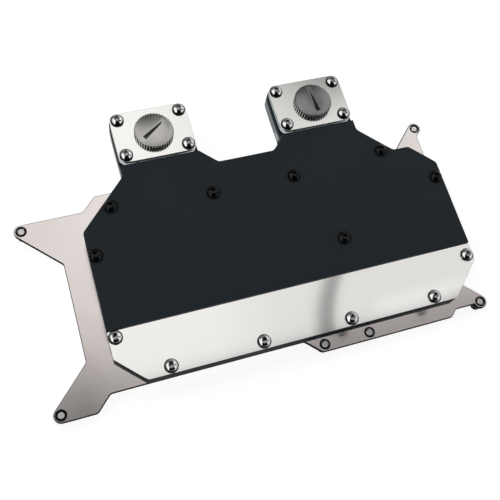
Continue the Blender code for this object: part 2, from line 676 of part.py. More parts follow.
def through_holes():
    """Openings through the body: every screw's hole and both ports' bores."""
    all_port_screws = port_screws(LEFT_PORT_X) + port_screws(RIGHT_PORT_X)
    screws = [*COVER_SCREWS, *INNER_COVER_SCREWS, *strip_screws(), *all_port_screws]
    return [*holes(screws), bore(LEFT_PORT_X), bore(RIGHT_PORT_X)]


def make_cold_plate():
    """One nickel-plated copper plate: coolant's floor above, pads that touch the board's chips below."""
    plate = flat("cold_plate", [body_outline()], STAGE_HEIGHT, COLD_TOP, NICKEL)

    seat_rear = REAR_EDGE + FRAME_INSET
    seat_front = -STRIP_DEPTH - OVERCUT
    seat_corners = box_corners(BODY_LENGTH / 2, (seat_front + seat_rear) / 2, BODY_LENGTH + 2 * OVERCUT,
                               seat_rear - seat_front, 0)
    stage = rounded(window_corners(FRAME_LAP + STAGE_CLEARANCE))
    seat = flat("frame_seat_cutter", [rounded(seat_corners), stage], STAGE_HEIGHT - OVERCUT, FLANGE_BOTTOM,
                collection=CUTTERS)
    cut(plate, seat)

    power_x = BODY_LENGTH - POWER_PAD_INSET
    power_y = CHIP_Y - POWER_PAD_DROP
    pads = (
        ("chip", CHIP_X, CHIP_Y, CHIP_PAD_SIDE, CHIP_PAD_SIDE, CHIP_PAD_HEIGHT),
        ("left_memory", CHIP_X - MEMORY_PAD_REACH, CHIP_Y, *MEMORY_PAD),
        ("right_memory", CHIP_X + MEMORY_PAD_REACH, CHIP_Y, *MEMORY_PAD),
        ("power", power_x, power_y, POWER_PAD_WIDTH, POWER_PAD_LENGTH, MEMORY_PAD_HEIGHT),
    )
    pad_top = STAGE_HEIGHT + JOIN
    for name, x, y, width, depth, height in pads:
        outline = rounded(box_corners(x, y, width, depth, PAD_FILLET))
        pad = flat(name + "_pad_shape", [outline], height, pad_top, collection=CUTTERS)
        join(plate, pad)
    for index, (side, way) in enumerate(((-1, -1), (1, -1), (1, 1), (-1, 1)), 1):
        boss = turned(f"chip_boss_shape_{index}", [(0, pad_top), (CHIP_BOSS_RADIUS, pad_top),
                                                   (CHIP_BOSS_RADIUS, 0), (THREAD_RADIUS, 0),
                                                   (THREAD_RADIUS, THREAD_DEPTH), (0, THREAD_DEPTH)],
                      BOSS_STEPS, collection=CUTTERS)
        boss.location = (CHIP_X + side * CHIP_SCREW_REACH, CHIP_Y + way * CHIP_SCREW_REACH, 0)
        join(plate, boss)

    for name, outline in (("inlet", inlet_channel()), ("outlet", outlet_channel())):
        channel = flat(name + "_floor_cutter", [outline], COLD_TOP - CHANNEL_DEPTH, COLD_TOP + OVERCUT,
                       collection=CUTTERS)
        cut(plate, channel)
    groove_half = SEAL_RADIUS + SIDE_GAP
    groove = flat("seal_groove_cutter", [seal_outline(groove_half), seal_outline(-groove_half)],
                  COLD_TOP - GROOVE_DEPTH, COLD_TOP + OVERCUT, collection=CUTTERS)
    cut(plate, groove)
    pitch = FIN_FIELD / FIN_COUNT
    slots = []
    for index in range(FIN_COUNT):
        y = CHIP_Y - FIN_FIELD / 2 + pitch * (index + 0.5)
        slots.append(rounded(box_corners(CHIP_X, y, FIN_FIELD + 2 * JOIN, FIN_SLOT, 0)))
    fins = flat("fin_slots_cutter", slots, COLD_TOP - FIN_DEPTH, COLD_TOP + OVERCUT, collection=CUTTERS)
    cut(plate, fins)
    drill = flat("cold_plate_drill_cutter", through_holes(), STAGE_HEIGHT - OVERCUT,
                 COLD_TOP + OVERCUT, collection=CUTTERS)
    cut(plate, drill)


def make_fin_cover():
    side = FIN_FIELD + 2 * FIN_COVER_MARGIN
    outline = rounded(box_corners(CHIP_X, CHIP_Y, FIN_FIELD, side, PAD_FILLET))
    flat("fin_cover", [outline], HOUSING_BOTTOM, HOUSING_BOTTOM + FIN_COVER_THICKNESS, STEEL)


def make_housing():
    housing = flat("housing", [body_outline()], HOUSING_BOTTOM, HOUSING_TOP, HOUSING_BLACK)
    middle = (TOWER_FRONT - SEAT_GAP + TOWER_REAR + OVERCUT) / 2
    depth = TOWER_REAR + OVERCUT - TOWER_FRONT + SEAT_GAP
    step_outline = rounded(box_corners(CHIP_X, middle, PORT_PITCH + 3 * TOWER_HALF, depth, 0))
    step = flat("tower_step_cutter", [step_outline], TOWER_HOUSING_TOP, HOUSING_TOP + OVERCUT,
                collection=CUTTERS)
    cut(housing, step)
    for name, outline in (("inlet", inlet_channel()), ("outlet", outlet_channel())):
        roof = flat(name + "_roof_cutter", [outline], HOUSING_BOTTOM - OVERCUT,
                    HOUSING_BOTTOM + CHANNEL_ROOF, collection=CUTTERS)
        cut(housing, roof)
    pocket_corners = box_corners(CHIP_X, CHIP_Y, FIN_FIELD + 2 * SIDE_GAP,
                                 FIN_FIELD + 2 * FIN_COVER_MARGIN + 2 * SIDE_GAP, PAD_FILLET)
    pocket = flat("fin_cover_pocket_cutter", [rounded(pocket_corners)], HOUSING_BOTTOM - OVERCUT,
                  HOUSING_BOTTOM + FIN_COVER_THICKNESS + SEAT_GAP, collection=CUTTERS)
    cut(housing, pocket)
    for name, port_x in (("left", LEFT_PORT_X), ("right", RIGHT_PORT_X)):
        inner = PORT_SEAL_RADIUS - SEAL_RADIUS - SIDE_GAP
        outer = PORT_SEAL_RADIUS + SEAL_RADIUS + SIDE_GAP
        rings = [circle(port_x, BORE_Y, outer, RING_STEPS), circle(port_x, BORE_Y, inner, RING_STEPS)]
        groove = flat(name + "_port_groove_cutter", rings, TOWER_HOUSING_TOP - GROOVE_DEPTH,
                      TOWER_HOUSING_TOP + OVERCUT, collection=CUTTERS)
        cut(housing, groove)
    drill = flat("housing_drill_cutter", through_holes(), HOUSING_BOTTOM - OVERCUT,
                 HOUSING_TOP + OVERCUT, collection=CUTTERS)
    cut(housing, drill)


def make_main_seal():
    curve = bpy.data.curves.new("main_seal", "CURVE")
    curve.dimensions = "3D"
    curve.bevel_depth = SEAL_RADIUS
    curve.bevel_resolution = 1
    spline = curve.splines.new("POLY")
    outline = seal_outline(0)
    spline.points.add(len(outline) - 1)
    for point, (x, y) in zip(spline.points, outline):
        point.co = (x, y, 0, 1)
    spline.use_cyclic_u = True
    curve.materials.append(SEAL_RUBBER)
    seal = bpy.data.objects.new("main_seal", curve)
    seal.location.z = COLD_TOP - GROOVE_DEPTH + SEAT_GAP + SEAL_RADIUS
    place(seal, PARTS)


def make_ring(name, port_x, z, ring_radius, tube_radius):
    """A seal ring round a port's axis."""
    profile = []
    for index in range(TUBE_SIDES):
        angle = math.pi / 2 - 2 * math.pi * index / TUBE_SIDES
        profile.append((ring_radius + tube_radius * math.cos(angle), tube_radius * math.sin(angle)))
    ring = turned(name, profile, RING_STEPS, SEAL_RUBBER)
    ring.location = (port_x, BORE_Y, z)


def make_cover():
    corners = [(0, SIDE_GAP / 2, 0), (BODY_LENGTH, SIDE_GAP / 2, 0)]
    corners += rear_corners(TOWER_FRONT - SEAT_GAP, 0)
    openings = holes([*COVER_SCREWS, *INNER_COVER_SCREWS])
    flat("black_cover", [rounded(corners), *openings], COVER_BOTTOM, COVER_TOP, COVER_BLACK)


def make_strip():
    corners = [*front_corners(), (BODY_LENGTH, -SIDE_GAP / 2, 0), (0, -SIDE_GAP / 2, 0)]
    flat("steel_strip", [rounded(corners), *holes(strip_screws())], COVER_BOTTOM, STRIP_TOP, STEEL)


def make_port_plates(side, port_x):
    """A thick block and a thin plate of one outline, over the tower's housing."""
    edge = rounded(box_corners(port_x, PORT_Y, PORT_PLATE_WIDTH, PORT_PLATE_DEPTH, PORT_FILLET))
    outlines = [edge, *holes(port_screws(port_x)), bore(port_x)]
    flat(side + "_port_block", outlines, PORT_BLOCK_BOTTOM, PORT_BLOCK_TOP, NICKEL)
    flat(side + "_port_plate", outlines, PORT_PLATE_BOTTOM, PORT_PLATE_TOP, STEEL)


def knurl_outline():
    """One flat-topped rib for each step of the knurl."""
    points = []
    step = 2 * math.pi / KNURL_COUNT
    half = KNURL_CREST / 2
    valley = PLUG_RADIUS - KNURL_DEPTH
    for index in range(KNURL_COUNT):
        for share, radius in ((-half, PLUG_RADIUS), (half, PLUG_RADIUS), (0.5, valley)):
            angle = step * (index + share)
            points.append((radius * math.cos(angle), radius * math.sin(angle)))
    return points


def make_plug(side, port_x, slot_angle):
    """A knurled head with a coin slot, a seal groove under it and the threaded end in the port."""
    head_bottom = PORT_PLATE_TOP + SEAT_GAP
    head_top = head_bottom + PLUG_HEAD_HEIGHT
    name = side + "_plug"
    plug = flat(name, [knurl_outline()], head_bottom, head_top, PLUG_METAL)
    plug.location = (port_x, BORE_Y, plug.location.z)

    end_bottom = head_bottom - PLUG_THREAD_LENGTH
    end_profile = [
        (0, head_bottom + JOIN),
        (PLUG_THREAD_RADIUS, head_bottom + JOIN),
        (PLUG_THREAD_RADIUS, end_bottom + PLUG_EDGE),
        (PLUG_THREAD_RADIUS - PLUG_EDGE, end_bottom),
        (0, end_bottom),
    ]
    end = turned(name + "_end_shape", end_profile, BORE_STEPS, collection=CUTTERS)
    end.location = (port_x, BORE_Y, 0)
    join(plug, end)

    room = PLUG_SEAL_TUBE + SIDE_GAP
    rings = [circle(0, 0, PLUG_SEAL_RADIUS + room, RING_STEPS),
             circle(0, 0, PLUG_SEAL_RADIUS - room, RING_STEPS)]
    groove = flat(name + "_groove_cutter", rings, head_bottom - OVERCUT,
                  head_bottom + 2 * PLUG_SEAL_TUBE + SEAT_GAP, collection=CUTTERS)
    groove.location = (port_x, BORE_Y, groove.location.z)
    cut(plug, groove)

    half = PLUG_SLOT_LENGTH / 2
    saw_radius = (half ** 2 + PLUG_SLOT_DEPTH ** 2) / (2 * PLUG_SLOT_DEPTH)
    mesh = bpy.data.meshes.new(name + "_slot_cutter")
    disc = bmesh.new()
    bmesh.ops.create_cone(disc, cap_ends=True, segments=SAW_STEPS, radius1=saw_radius, radius2=saw_radius,
                          depth=PLUG_SLOT_WIDTH)
    disc.to_mesh(mesh)
    disc.free()
    saw = place(bpy.data.objects.new(name + "_slot_cutter", mesh), CUTTERS)
    saw.location = (port_x, BORE_Y, head_top - PLUG_SLOT_DEPTH + saw_radius)
    saw.rotation_euler = (math.pi / 2, 0, slot_angle)
    cut(plug, saw)

    seal_z = head_bottom + PLUG_SEAL_TUBE
    make_ring(side + "_plug_seal", port_x, seal_z, PLUG_SEAL_RADIUS, PLUG_SEAL_TUBE)


def screw_mesh(name, seat, end, material):
    """A button-head screw with its axis on the origin: dome, rim, shank and hexagon socket."""
    under = seat + SEAT_GAP
    top = under + SCREW_HEAD_HEIGHT
    crown = SCREW_HEAD_HEIGHT - SCREW_RIM
    face = SOCKET_ACROSS * SCREW_FACE_SHARE
    profile = [(0, top), (face, top)]
    for step in range(1, DOME_STEPS + 1):
        angle = step / DOME_STEPS * math.pi / 2
        radius = face + (SCREW_HEAD_RADIUS - face) * math.sin(angle)
        profile.append((radius, under + SCREW_RIM + crown * math.cos(angle)))
    profile += [(SCREW_HEAD_RADIUS, under), (SCREW_RADIUS, under), (SCREW_RADIUS, end), (0, end)]
    blank = turned(name, profile, SCREW_STEPS, material)
    socket_radius = SOCKET_ACROSS / math.sqrt(3)
    hexagon = circle(0, 0, socket_radius, 6)
    socket = flat(name + "_socket_cutter", [hexagon], top - SOCKET_DEPTH, top + OVERCUT, collection=CUTTERS)
    boolean(blank, socket, "DIFFERENCE")
    bpy.context.view_layer.update()
    depsgraph = bpy.context.evaluated_depsgraph_get()
    mesh = bpy.data.meshes.new_from_object(blank.evaluated_get(depsgraph))
    mesh.name = name
    shade(mesh)
    for used in (blank, socket):
        bpy.data.objects.remove(used, do_unlink=True)
    return mesh


def make_screws(name, places, seat, end, material):
    """Screws of one length share a mesh; each is its own piece."""
    mesh = screw_mesh(name, seat, end, material)
    for index, (x, y) in enumerate(places, 1):
        screw = bpy.data.objects.new(f"{name}_{index}", mesh)
        screw.location = (x, y, 0)
        place(screw, PARTS)


PORTS = (("left", LEFT_PORT_X, LEFT_SLOT_ANGLE), ("right", RIGHT_PORT_X, RIGHT_SLOT_ANGLE))

for tower_side, tower_x, tower_slot in PORTS:
    make_screws(tower_side + "_port_screw", port_screws(tower_x), PORT_PLATE_TOP, PLATE_SCREW_END, CHROME)
make_screws("cover_screw", COVER_SCREWS, COVER_TOP, FRAME_SCREW_END, BLACK_SCREW)
make_screws("inner_cover_screw", INNER_COVER_SCREWS, COVER_TOP, PLATE_SCREW_END, BLACK_SCREW)
make_screws("strip_screw", strip_screws(), STRIP_TOP, FRAME_SCREW_END, CHROME)
make_frame_plate()
for standoff_name, (standoff_x, standoff_y) in STANDOFFS.items():
    make_standoff(standoff_name, standoff_x, standoff_y)
make_cold_plate()
make_fin_cover()
make_housing()
make_main_seal()
make_cover()
make_strip()
for tower_side, tower_x, tower_slot in PORTS:
    make_port_plates(tower_side, tower_x)
    port_seal_z = TOWER_HOUSING_TOP - GROOVE_DEPTH + SEAT_GAP + SEAL_RADIUS
    make_ring(tower_side + "_port_seal", tower_x, port_seal_z, PORT_SEAL_RADIUS, SEAL_RADIUS)
    make_plug(tower_side, tower_x, tower_slot)
for planned in PLANNED:
    boolean(*planned)
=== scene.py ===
import json
import math

import bmesh
import bpy
from mathutils import Matrix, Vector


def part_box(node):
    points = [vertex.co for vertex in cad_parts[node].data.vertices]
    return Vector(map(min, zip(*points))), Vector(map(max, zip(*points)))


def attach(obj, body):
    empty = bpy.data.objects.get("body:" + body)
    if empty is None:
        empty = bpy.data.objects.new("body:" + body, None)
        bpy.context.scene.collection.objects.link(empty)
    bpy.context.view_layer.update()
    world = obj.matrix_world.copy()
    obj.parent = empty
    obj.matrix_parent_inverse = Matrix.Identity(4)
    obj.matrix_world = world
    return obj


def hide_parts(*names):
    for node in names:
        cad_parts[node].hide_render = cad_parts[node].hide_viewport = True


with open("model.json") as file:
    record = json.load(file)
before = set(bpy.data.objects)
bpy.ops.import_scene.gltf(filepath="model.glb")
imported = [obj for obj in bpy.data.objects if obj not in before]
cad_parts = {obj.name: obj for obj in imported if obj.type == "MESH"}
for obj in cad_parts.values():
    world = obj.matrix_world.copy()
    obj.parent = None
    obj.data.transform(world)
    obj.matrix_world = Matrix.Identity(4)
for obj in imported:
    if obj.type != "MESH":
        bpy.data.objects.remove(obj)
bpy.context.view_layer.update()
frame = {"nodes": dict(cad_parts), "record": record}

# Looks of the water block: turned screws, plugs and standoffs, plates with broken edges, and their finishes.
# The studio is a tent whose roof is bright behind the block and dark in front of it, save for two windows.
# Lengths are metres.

SLOTS = {row["node"]: row["material_slot"] for row in frame["record"]["subparts"]}

# Camera
CAMERA_PLACE = (-0.0718754, -0.1072679, 0.3033994)
CAMERA_TURN = (20.58437, -8.51326, -16.85783)
CAMERA_LENS = 54.220
CAMERA_SHIFT = (-0.02588, 0.003565)

# Floor of the studio
FLOOR_SIDE = 8.0
FLOOR_DROP = 0.0002
FLOOR_SEEN = 0.84           # glow where the camera looks at it
BENEATH_REACH = (0.075, 0.045)
BENEATH_GLOW = 0.7          # glow under the block
SHEEN_REACH = (0.12, 0.20)
SHEEN = 0.32                # glow that mirror rays meet close to the block

# Tent roof
ROOF_HEIGHT = 0.62
ROOF_SIDE = 3.0
ROOF_MIDDLE = (0.0, 0.1)
ROOF_LIGHT = 1.03
ROOF_EDGE = (0.034, 0.066)  # from the dark front to the bright rear
DARK_ROOF = 0.006
RIGHT_WINDOW = 0.75
FOLD_SHADE = 0.37
FOLD_PLACE = (0.2062, 0.063)
FOLD_SLANT = 0.25
FOLD_BEND = 3.95
PATCH_PLACE = (0.34, 0.475)
CORNER_PLACE = (-0.22, 0.36)

# Light from the room round the tent
ROOM_ALL_ROUND = 0.11
ROOM_RIGHT = 0.50
ROOM_BACK = 0.10

# Finishing touches on the plates
PLATE_EDGE = 0.00012
SOFT_EDGE = 0.0002
FRAME_EDGE = 0.00030
CORNER_LOW = math.radians(8)
CORNER_HIGH = math.radians(40)
CORNER_SHARE = 30           # percent of the neighbouring edges that a round corner takes
BREAK_ANGLE = 42            # degrees from which an edge is broken
SIDE_LIMIT = 0.5            # largest upright share of a side face's normal

# Button-head screws: a round dome over a short straight rim
HEAD_HEIGHT = 0.00165
HEAD_RIM = 0.00028
HEAD_BREAK = 0.00008
DOME_FOOT = 0.00003         # from the rim's top down to where its side starts
DOME_RADIUS = 0.003336
DOME_START = math.radians(21.4)
DOME_END = math.radians(58.7)
DOME_STEPS = 9
# The outer ring of each bright head is a painted shade, for the shadow under its rim and the dark it mirrors.
SHADE_RING_START = 0.86           # the dark outer ring, as a share of the head's radius
SHANK_RADIUS = 0.00145
SHANK_NECK = 0.0004         # plain part above the thread
SHANK_TIP = 0.0003          # chamfer at the end
SOCKET_ACROSS = 0.0020
SOCKET_DEPTH = 0.00105
SOCKET_DIP = 0.00008
SOCKET_CONE = 0.0003
SCREW_SIDES = 36
SCREW_TURN_STEP = 37        # degrees from one screw's hexagon to the next
THREAD_PITCH = 0.0005
THREAD_CUT = 0.00028

# Where a thread's flanks start and end, as shares of the pitch
SCREWED_FLANKS = (0.10, 0.45, 0.55, 0.90)
TAPPED_FLANKS = (0.25, 0.50, 0.62, 0.87)

# Standoffs: a pressed-in pin in its groove, a barrel, and a blind thread from below
PIN_FACE = 0.00115
PIN_EDGE = 0.00135
PIN_FOOT = 0.00138
PIN_DIMPLE = (0.00022, 0.00025)
GROOVE_RADIUS = 0.0018
GROOVE_DEPTH = 0.0012
COLLAR_HEIGHT = 0.0037
BARREL_BREAK = 0.00015
BLIND_MOUTH = 0.00135
BLIND_ROOT = 0.0012
BLIND_CREST = 0.00105
BLIND_DEPTH = 0.0036
BLIND_TIP = 0.0038
BLIND_TURNS = 6

# Knurled plugs
KNURLS = 43
KNURL_SHAPE = (0.9, 1.0, 1.0, 0.9, 0.1, 0.0, 0.0, 0.1)
KNURL_RISE = 0.00046
KNURL_CHAMFER = 0.00014
FACE_INSET = 0.00010        # of the face's edge, from the ribs' roots
LIP_INSET = 0.00002
LIP_HEIGHT = 0.00004
# From this share of the rise up, a rib takes the painted highlight.
HIGHLIGHT_SHARE = 0.7           # of the rise, from which a rib is bright
HEAD_GAP = 0.0003           # from the port plate up to the plug's head
SLOT_WIDTH = 0.0019
SLOT_LENGTH = 0.0110
SLOT_DEPTH = 0.0020
SLOT_TIP = 0.04             # share of the width that is left at the narrow end
SLOT_TURNS = {"left": math.radians(30.5), "right": math.radians(99)}
SLOT_LEANS = {"left": 1, "right": -1}
PLUG_TONES = {
    "left": ((0.45, 0.438, 0.415), (0.58, 0.567, 0.54)),
    "right": ((0.20, 0.20, 0.20), (0.28, 0.28, 0.28)),
}
PLUG_ROUGHNESS = (0.24, 0.34)
PLUG_RINGS = 0.0005

# Port threads
PORT_BORE = 0.00571
PORT_CREST = 0.00552
PORT_PITCH = 0.00134
PLUG_END_RADIUS = 0.00543
PLUG_END_CUT = 0.00045
PLUG_END_LAP = 0.0002       # how far it reaches up into the head
PLUG_END_NECK = 0.0006
PLUG_END_TIP = 0.0004
TAB_THICKNESS = 0.0044      # of the cold plate under a tower
THREAD_GAP = 0.0002         # between a thread and the pieces at its ends


def feed(tree, node, inputs):
    """Sets each input of a node to a value, or links it to the socket that is given."""
    for name, value in inputs.items():
        if isinstance(value, bpy.types.NodeSocket):
            tree.links.new(value, node.inputs[name])
        else:
            node.inputs[name].default_value = value


def add(tree, kind, inputs=None, **settings):
    """A shader node with its settings and inputs."""
    made = tree.nodes.new("ShaderNode" + kind)
    for name, value in settings.items():
        setattr(made, name, value)
    feed(tree, made, inputs or {})
    return made


def math_node(tree, operation, first, second=0.0):
    return add(tree, "Math", {0: first, 1: second}, operation=operation).outputs[0]


def multiply(tree, *values):
    product = values[0]
    for value in values[1:]:
        product = math_node(tree, "MULTIPLY", product, value)
    return product


def either(tree, first, second):
    """The larger of two values."""
    return math_node(tree, "MAXIMUM", first, second)


def weighed(tree, first, first_share, second, second_share):
    """The sum of two values, each times its share."""
    rest = multiply(tree, second, second_share)
    return math_node(tree, "ADD", multiply(tree, first, first_share), rest)


def stretched(tree, vector, factors):
    return add(tree, "VectorMath", {0: vector, 1: factors}, operation="MULTIPLY").outputs[0]


def length_of(tree, vector):
    return add(tree, "VectorMath", {0: vector}, operation="LENGTH").outputs["Value"]


def noise(tree, vector, scale, **settings):
    return add(tree, "TexNoise", {"Vector": vector, "Scale": scale, **settings}).outputs[0]


def ramp(tree, value, start, end, low, high):
    """A soft step of a value, from low at the start to high at the end."""
    limits = {"From Min": start, "From Max": end, "To Min": low, "To Max": high}
    return add(tree, "MapRange", {"Value": value, **limits}, interpolation_type="SMOOTHSTEP").outputs[0]


def new_group(name, inputs, outputs):
    """A node group with named sockets; returns its tree, its input node and its output node."""
    tree = bpy.data.node_groups.new(name, "ShaderNodeTree")
    for socket, kind, value in inputs:
        made = tree.interface.new_socket(socket, in_out="INPUT", socket_type="NodeSocket" + kind)
        made.default_value = value
    for socket, kind in outputs:
        tree.interface.new_socket(socket, in_out="OUTPUT", socket_type="NodeSocket" + kind)
    return tree, tree.nodes.new("NodeGroupInput"), tree.nodes.new("NodeGroupOutput")


def make_brushing():
    """Long fine strokes along X: a mask for colour and roughness, and a height for the bump."""
    tree, given, result = new_group(
        "brushing",
        [("Vector", "Vector", (0, 0, 0)), ("Stretch", "Float", 40.0), ("Fineness", "Float", 5000.0)],
        [("Mask", "Float"), ("Height", "Float")])
    fine = given.outputs["Fineness"]
    along = math_node(tree, "DIVIDE", fine, given.outputs["Stretch"])
    scale = add(tree, "CombineXYZ", {"X": along, "Y": fine, "Z": fine}).outputs[0]
    drawn = stretched(tree, given.outputs["Vector"], scale)
    strokes = noise(tree, drawn, 1.0, Detail=3.0, Roughness=0.6)
    broad = stretched(tree, drawn, (0.13, 0.13, 0.13))
    bands = noise(tree, broad, 1.0, Detail=2.0)
    mask = weighed(tree, strokes, 0.65, bands, 0.35)
    tree.links.new(mask, result.inputs["Mask"])
    tree.links.new(strokes, result.inputs["Height"])
    return tree


def make_handling():
    """Faint cloudy marks from handling and wiping."""
    tree, given, result = new_group(
        "handling", [("Vector", "Vector", (0, 0, 0)), ("Size", "Float", 60.0)], [("Mask", "Float")])
    cloud = noise(tree, given.outputs["Vector"], given.outputs["Size"], Detail=5.0, Roughness=0.55,
                  Distortion=0.4)
    soft = add(tree, "MapRange", {"Value": cloud, "From Min": 0.35, "From Max": 0.72}).outputs[0]
    tree.links.new(soft, result.inputs["Mask"])
    return tree


def make_turning():
    """Rings left by the lathe round the local Z axis."""
    tree, given, result = new_group(
        "turning", [("Vector", "Vector", (0, 0, 0)), ("Pitch", "Float", 0.00022)],
        [("Mask", "Float"), ("Height", "Float")])
    radius = length_of(tree, stretched(tree, given.outputs["Vector"], (1, 1, 0)))
    wobble = noise(tree, given.outputs["Vector"], 300.0)
    bent = math_node(tree, "ADD", radius, multiply(tree, wobble, 0.00008))
    turns = math_node(tree, "DIVIDE", bent, given.outputs["Pitch"])
    rings = math_node(tree, "SINE", multiply(tree, turns, 2 * math.pi))
    uneven = add(tree, "TexNoise", {"W": turns, "Scale": 0.8, "Detail": 2.0}, noise_dimensions="1D")
    mask = math_node(tree, "ADD", multiply(tree, rings, 0.2), uneven.outputs[0])
    tree.links.new(mask, result.inputs["Mask"])
    tree.links.new(multiply(tree, rings, 0.5), result.inputs["Height"])
    return tree


BRUSHING = make_brushing()
HANDLING = make_handling()
TURNING = make_turning()


def use_group(tree, group, inputs):
    made = tree.nodes.new("ShaderNodeGroup")
    made.node_tree = group
    feed(tree, made, inputs)
    return made


def new_material(name, metallic, **sockets):
    """A Principled material with constants on its sockets; returns it, its tree, shader and coordinates."""
    material = bpy.data.materials.new(name)
    material.use_nodes = True
    tree = material.node_tree
    shader = tree.nodes["Principled BSDF"]
    shader.inputs["Metallic"].default_value = metallic
    for socket, value in sockets.items():
        shader.inputs[socket.replace("_", " ")].default_value = value
    coords = add(tree, "TexCoord").outputs["Object"]
    return material, tree, shader, coords


def blend_colours(tree, mask, dark, light):
    colours = {"Factor": mask, "A": (*dark, 1), "B": (*light, 1)}
    return add(tree, "Mix", colours, data_type="RGBA").outputs["Result"]


def finish_metal(tree, shader, mask, smudge, colours, roughness, height, depth):
    """Colour from dark to light by the mask, roughness between two values, and a bump."""
    tree.links.new(blend_colours(tree, mask, *colours), shader.inputs["Base Color"])
    low, high = roughness
    mixed = weighed(tree, mask, 0.5, smudge, 0.5)
    limits = {"From Min": 0.2, "From Max": 0.8, "To Min": low, "To Max": high}
    spread = add(tree, "MapRange", {"Value": mixed, **limits})
    tree.links.new(spread.outputs[0], shader.inputs["Roughness"])
    bump = add(tree, "Bump", {"Height": height, "Strength": 1.0, "Distance": depth})
    tree.links.new(bump.outputs[0], shader.inputs["Normal"])


def brushed_metal(name, colours, roughness, metallic, fineness=5000.0, stretch=60.0, depth=0.0000008,
                  **sockets):
    """Brushed along X; where Anisotropic is given, the gloss is drawn out across the strokes."""
    material, tree, shader, coords = new_material(name, metallic, **sockets)
    strokes = use_group(tree, BRUSHING, {"Vector": coords, "Fineness": fineness, "Stretch": stretch})
    smudge = use_group(tree, HANDLING, {"Vector": coords, "Size": 45.0})
    finish_metal(tree, shader, strokes.outputs["Mask"], smudge.outputs["Mask"], colours, roughness,
                 strokes.outputs["Height"], depth)
    if "Anisotropic" in sockets:
        across = add(tree, "CombineXYZ", {"X": 0.0, "Y": 1.0, "Z": 0.0}).outputs[0]
        tree.links.new(across, shader.inputs["Tangent"])
    return material


def turned_metal(name, middle, colours, roughness, pitch, depth):
    """Turned on a lathe round an upright axis through the middle."""
    material, tree, shader, coords = new_material(name, 1.0)
    centred = add(tree, "Mapping", {"Vector": coords, "Location": (-middle[0], -middle[1], 0)}).outputs[0]
    rings = use_group(tree, TURNING, {"Vector": centred, "Pitch": pitch})
    smudge = use_group(tree, HANDLING, {"Vector": coords, "Size": 260.0})
    finish_metal(tree, shader, rings.outputs["Mask"], smudge.outputs["Mask"], colours, roughness,
                 rings.outputs["Height"], depth)
    return material


def grained_solid(name, colours, roughness, grain, depth, metallic=0.0, **sockets):
    """Paint, anodised sheet, plastic or rubber with a fine grain."""
    material, tree, shader, coords = new_material(name, metallic, **sockets)
    grains = noise(tree, coords, grain, Detail=3.0, Roughness=0.6)
    smudge = use_group(tree, HANDLING, {"Vector": coords, "Size": 30.0})
    mask = weighed(tree, grains, 0.6, smudge.outputs["Mask"], 0.4)
    finish_metal(tree, shader, mask, smudge.outputs["Mask"], colours, roughness, grains, depth)
    return material


def milled_solid(name, colours, roughness, pitch, depth, metallic=0.0, **sockets):
    """Fine level lines round the side, as the cutter leaves them, over a faint grain."""
    material, tree, shader, coords = new_material(name, metallic, **sockets)
    lines = add(tree, "TexWave", {"Vector": coords, "Scale": 1 / pitch / 20, "Distortion": 0.6, "Detail": 2.0,
                                  "Detail Scale": 3.0}, wave_type="BANDS", bands_direction="Z").outputs["Fac"]
    grains = noise(tree, coords, 3000.0, Detail=2.0)
    smudge = use_group(tree, HANDLING, {"Vector": coords, "Size": 40.0})
    mask = weighed(tree, lines, 0.6, grains, 0.4)
    finish_metal(tree, shader, mask, smudge.outputs["Mask"], colours, roughness, mask, depth)
    return material


# Each finish takes its darkest and lightest colour and its lowest and highest roughness; then a brushed one
# takes how metallic it is, a milled one its pitch and depth, and a grained one its grain and depth.
STEEL = brushed_metal(
    "satin_steel", ((0.88, 0.87, 0.855), (0.96, 0.95, 0.935)), (0.060, 0.078), 0.93, Anisotropic=0.5)
PLATE_STEEL = brushed_metal(
    "plate_steel", ((0.905, 0.90, 0.88), (0.975, 0.97, 0.95)), (0.12, 0.15), 0.9)
PIN_STEEL = brushed_metal(
    "pin_steel", ((0.80, 0.79, 0.78), (0.92, 0.91, 0.90)), (0.25, 0.40), 0.55, fineness=9000.0, stretch=3.0,
    depth=0.000002)
FRAME_STEEL = brushed_metal(
    "brushed_frame", ((0.81, 0.748, 0.730), (0.91, 0.845, 0.825)), (0.20, 0.26), 0.95, fineness=4200.0,
    stretch=25.0, depth=0.0000016, Anisotropic=0.6)
# Painted shade: near black, dull steel on the frame's side faces and broken edges, standing in for the dark
# they mirror.
EDGE_SHADE = milled_solid(
    "edge_painted_shade", ((0.008, 0.010, 0.012), (0.022, 0.025, 0.029)), (0.38, 0.52), 0.0005, 0.000004,
    Specular_IOR_Level=0.02)
# Painted shade: the nickel at half its brightness, on the side faces of the cold plate's feet under the
# towers.
NICKEL_FOOT_SHADE = milled_solid(
    "nickel_foot_painted_shade", ((0.20, 0.225, 0.23), (0.28, 0.31, 0.315)), (0.28, 0.40), 0.0003, 0.000002, 1.0)
NICKEL = milled_solid(
    "nickel_plate", ((0.44, 0.50, 0.51), (0.56, 0.62, 0.63)), (0.22, 0.32), 0.0003, 0.000002, 1.0)
# Painted shade: near black on the side faces of the cold plate's rim and of the steel strip, for the dark
# front that they mirror.
RIM_SHADE = milled_solid(
    "rim_painted_shade", ((0.013, 0.016, 0.020), (0.024, 0.028, 0.034)), (0.36, 0.50), 0.0004, 0.000005,
    Specular_IOR_Level=0.02)
HOUSING = milled_solid(
    "housing_black", ((0.015, 0.021, 0.027), (0.026, 0.034, 0.043)), (0.34, 0.46), 0.0004, 0.000006,
    Specular_IOR_Level=0.02)
COVER = grained_solid(
    "cover_black", ((0.0155, 0.0235, 0.0310), (0.0200, 0.0300, 0.0390)), (0.46, 0.58), 4000.0, 0.000003,
    Specular_IOR_Level=0.2)
CHROME = grained_solid(
    "bright_screw", ((0.84, 0.84, 0.845), (0.92, 0.92, 0.925)), (0.04, 0.07), 1500.0, 0.0000004, 1.0)
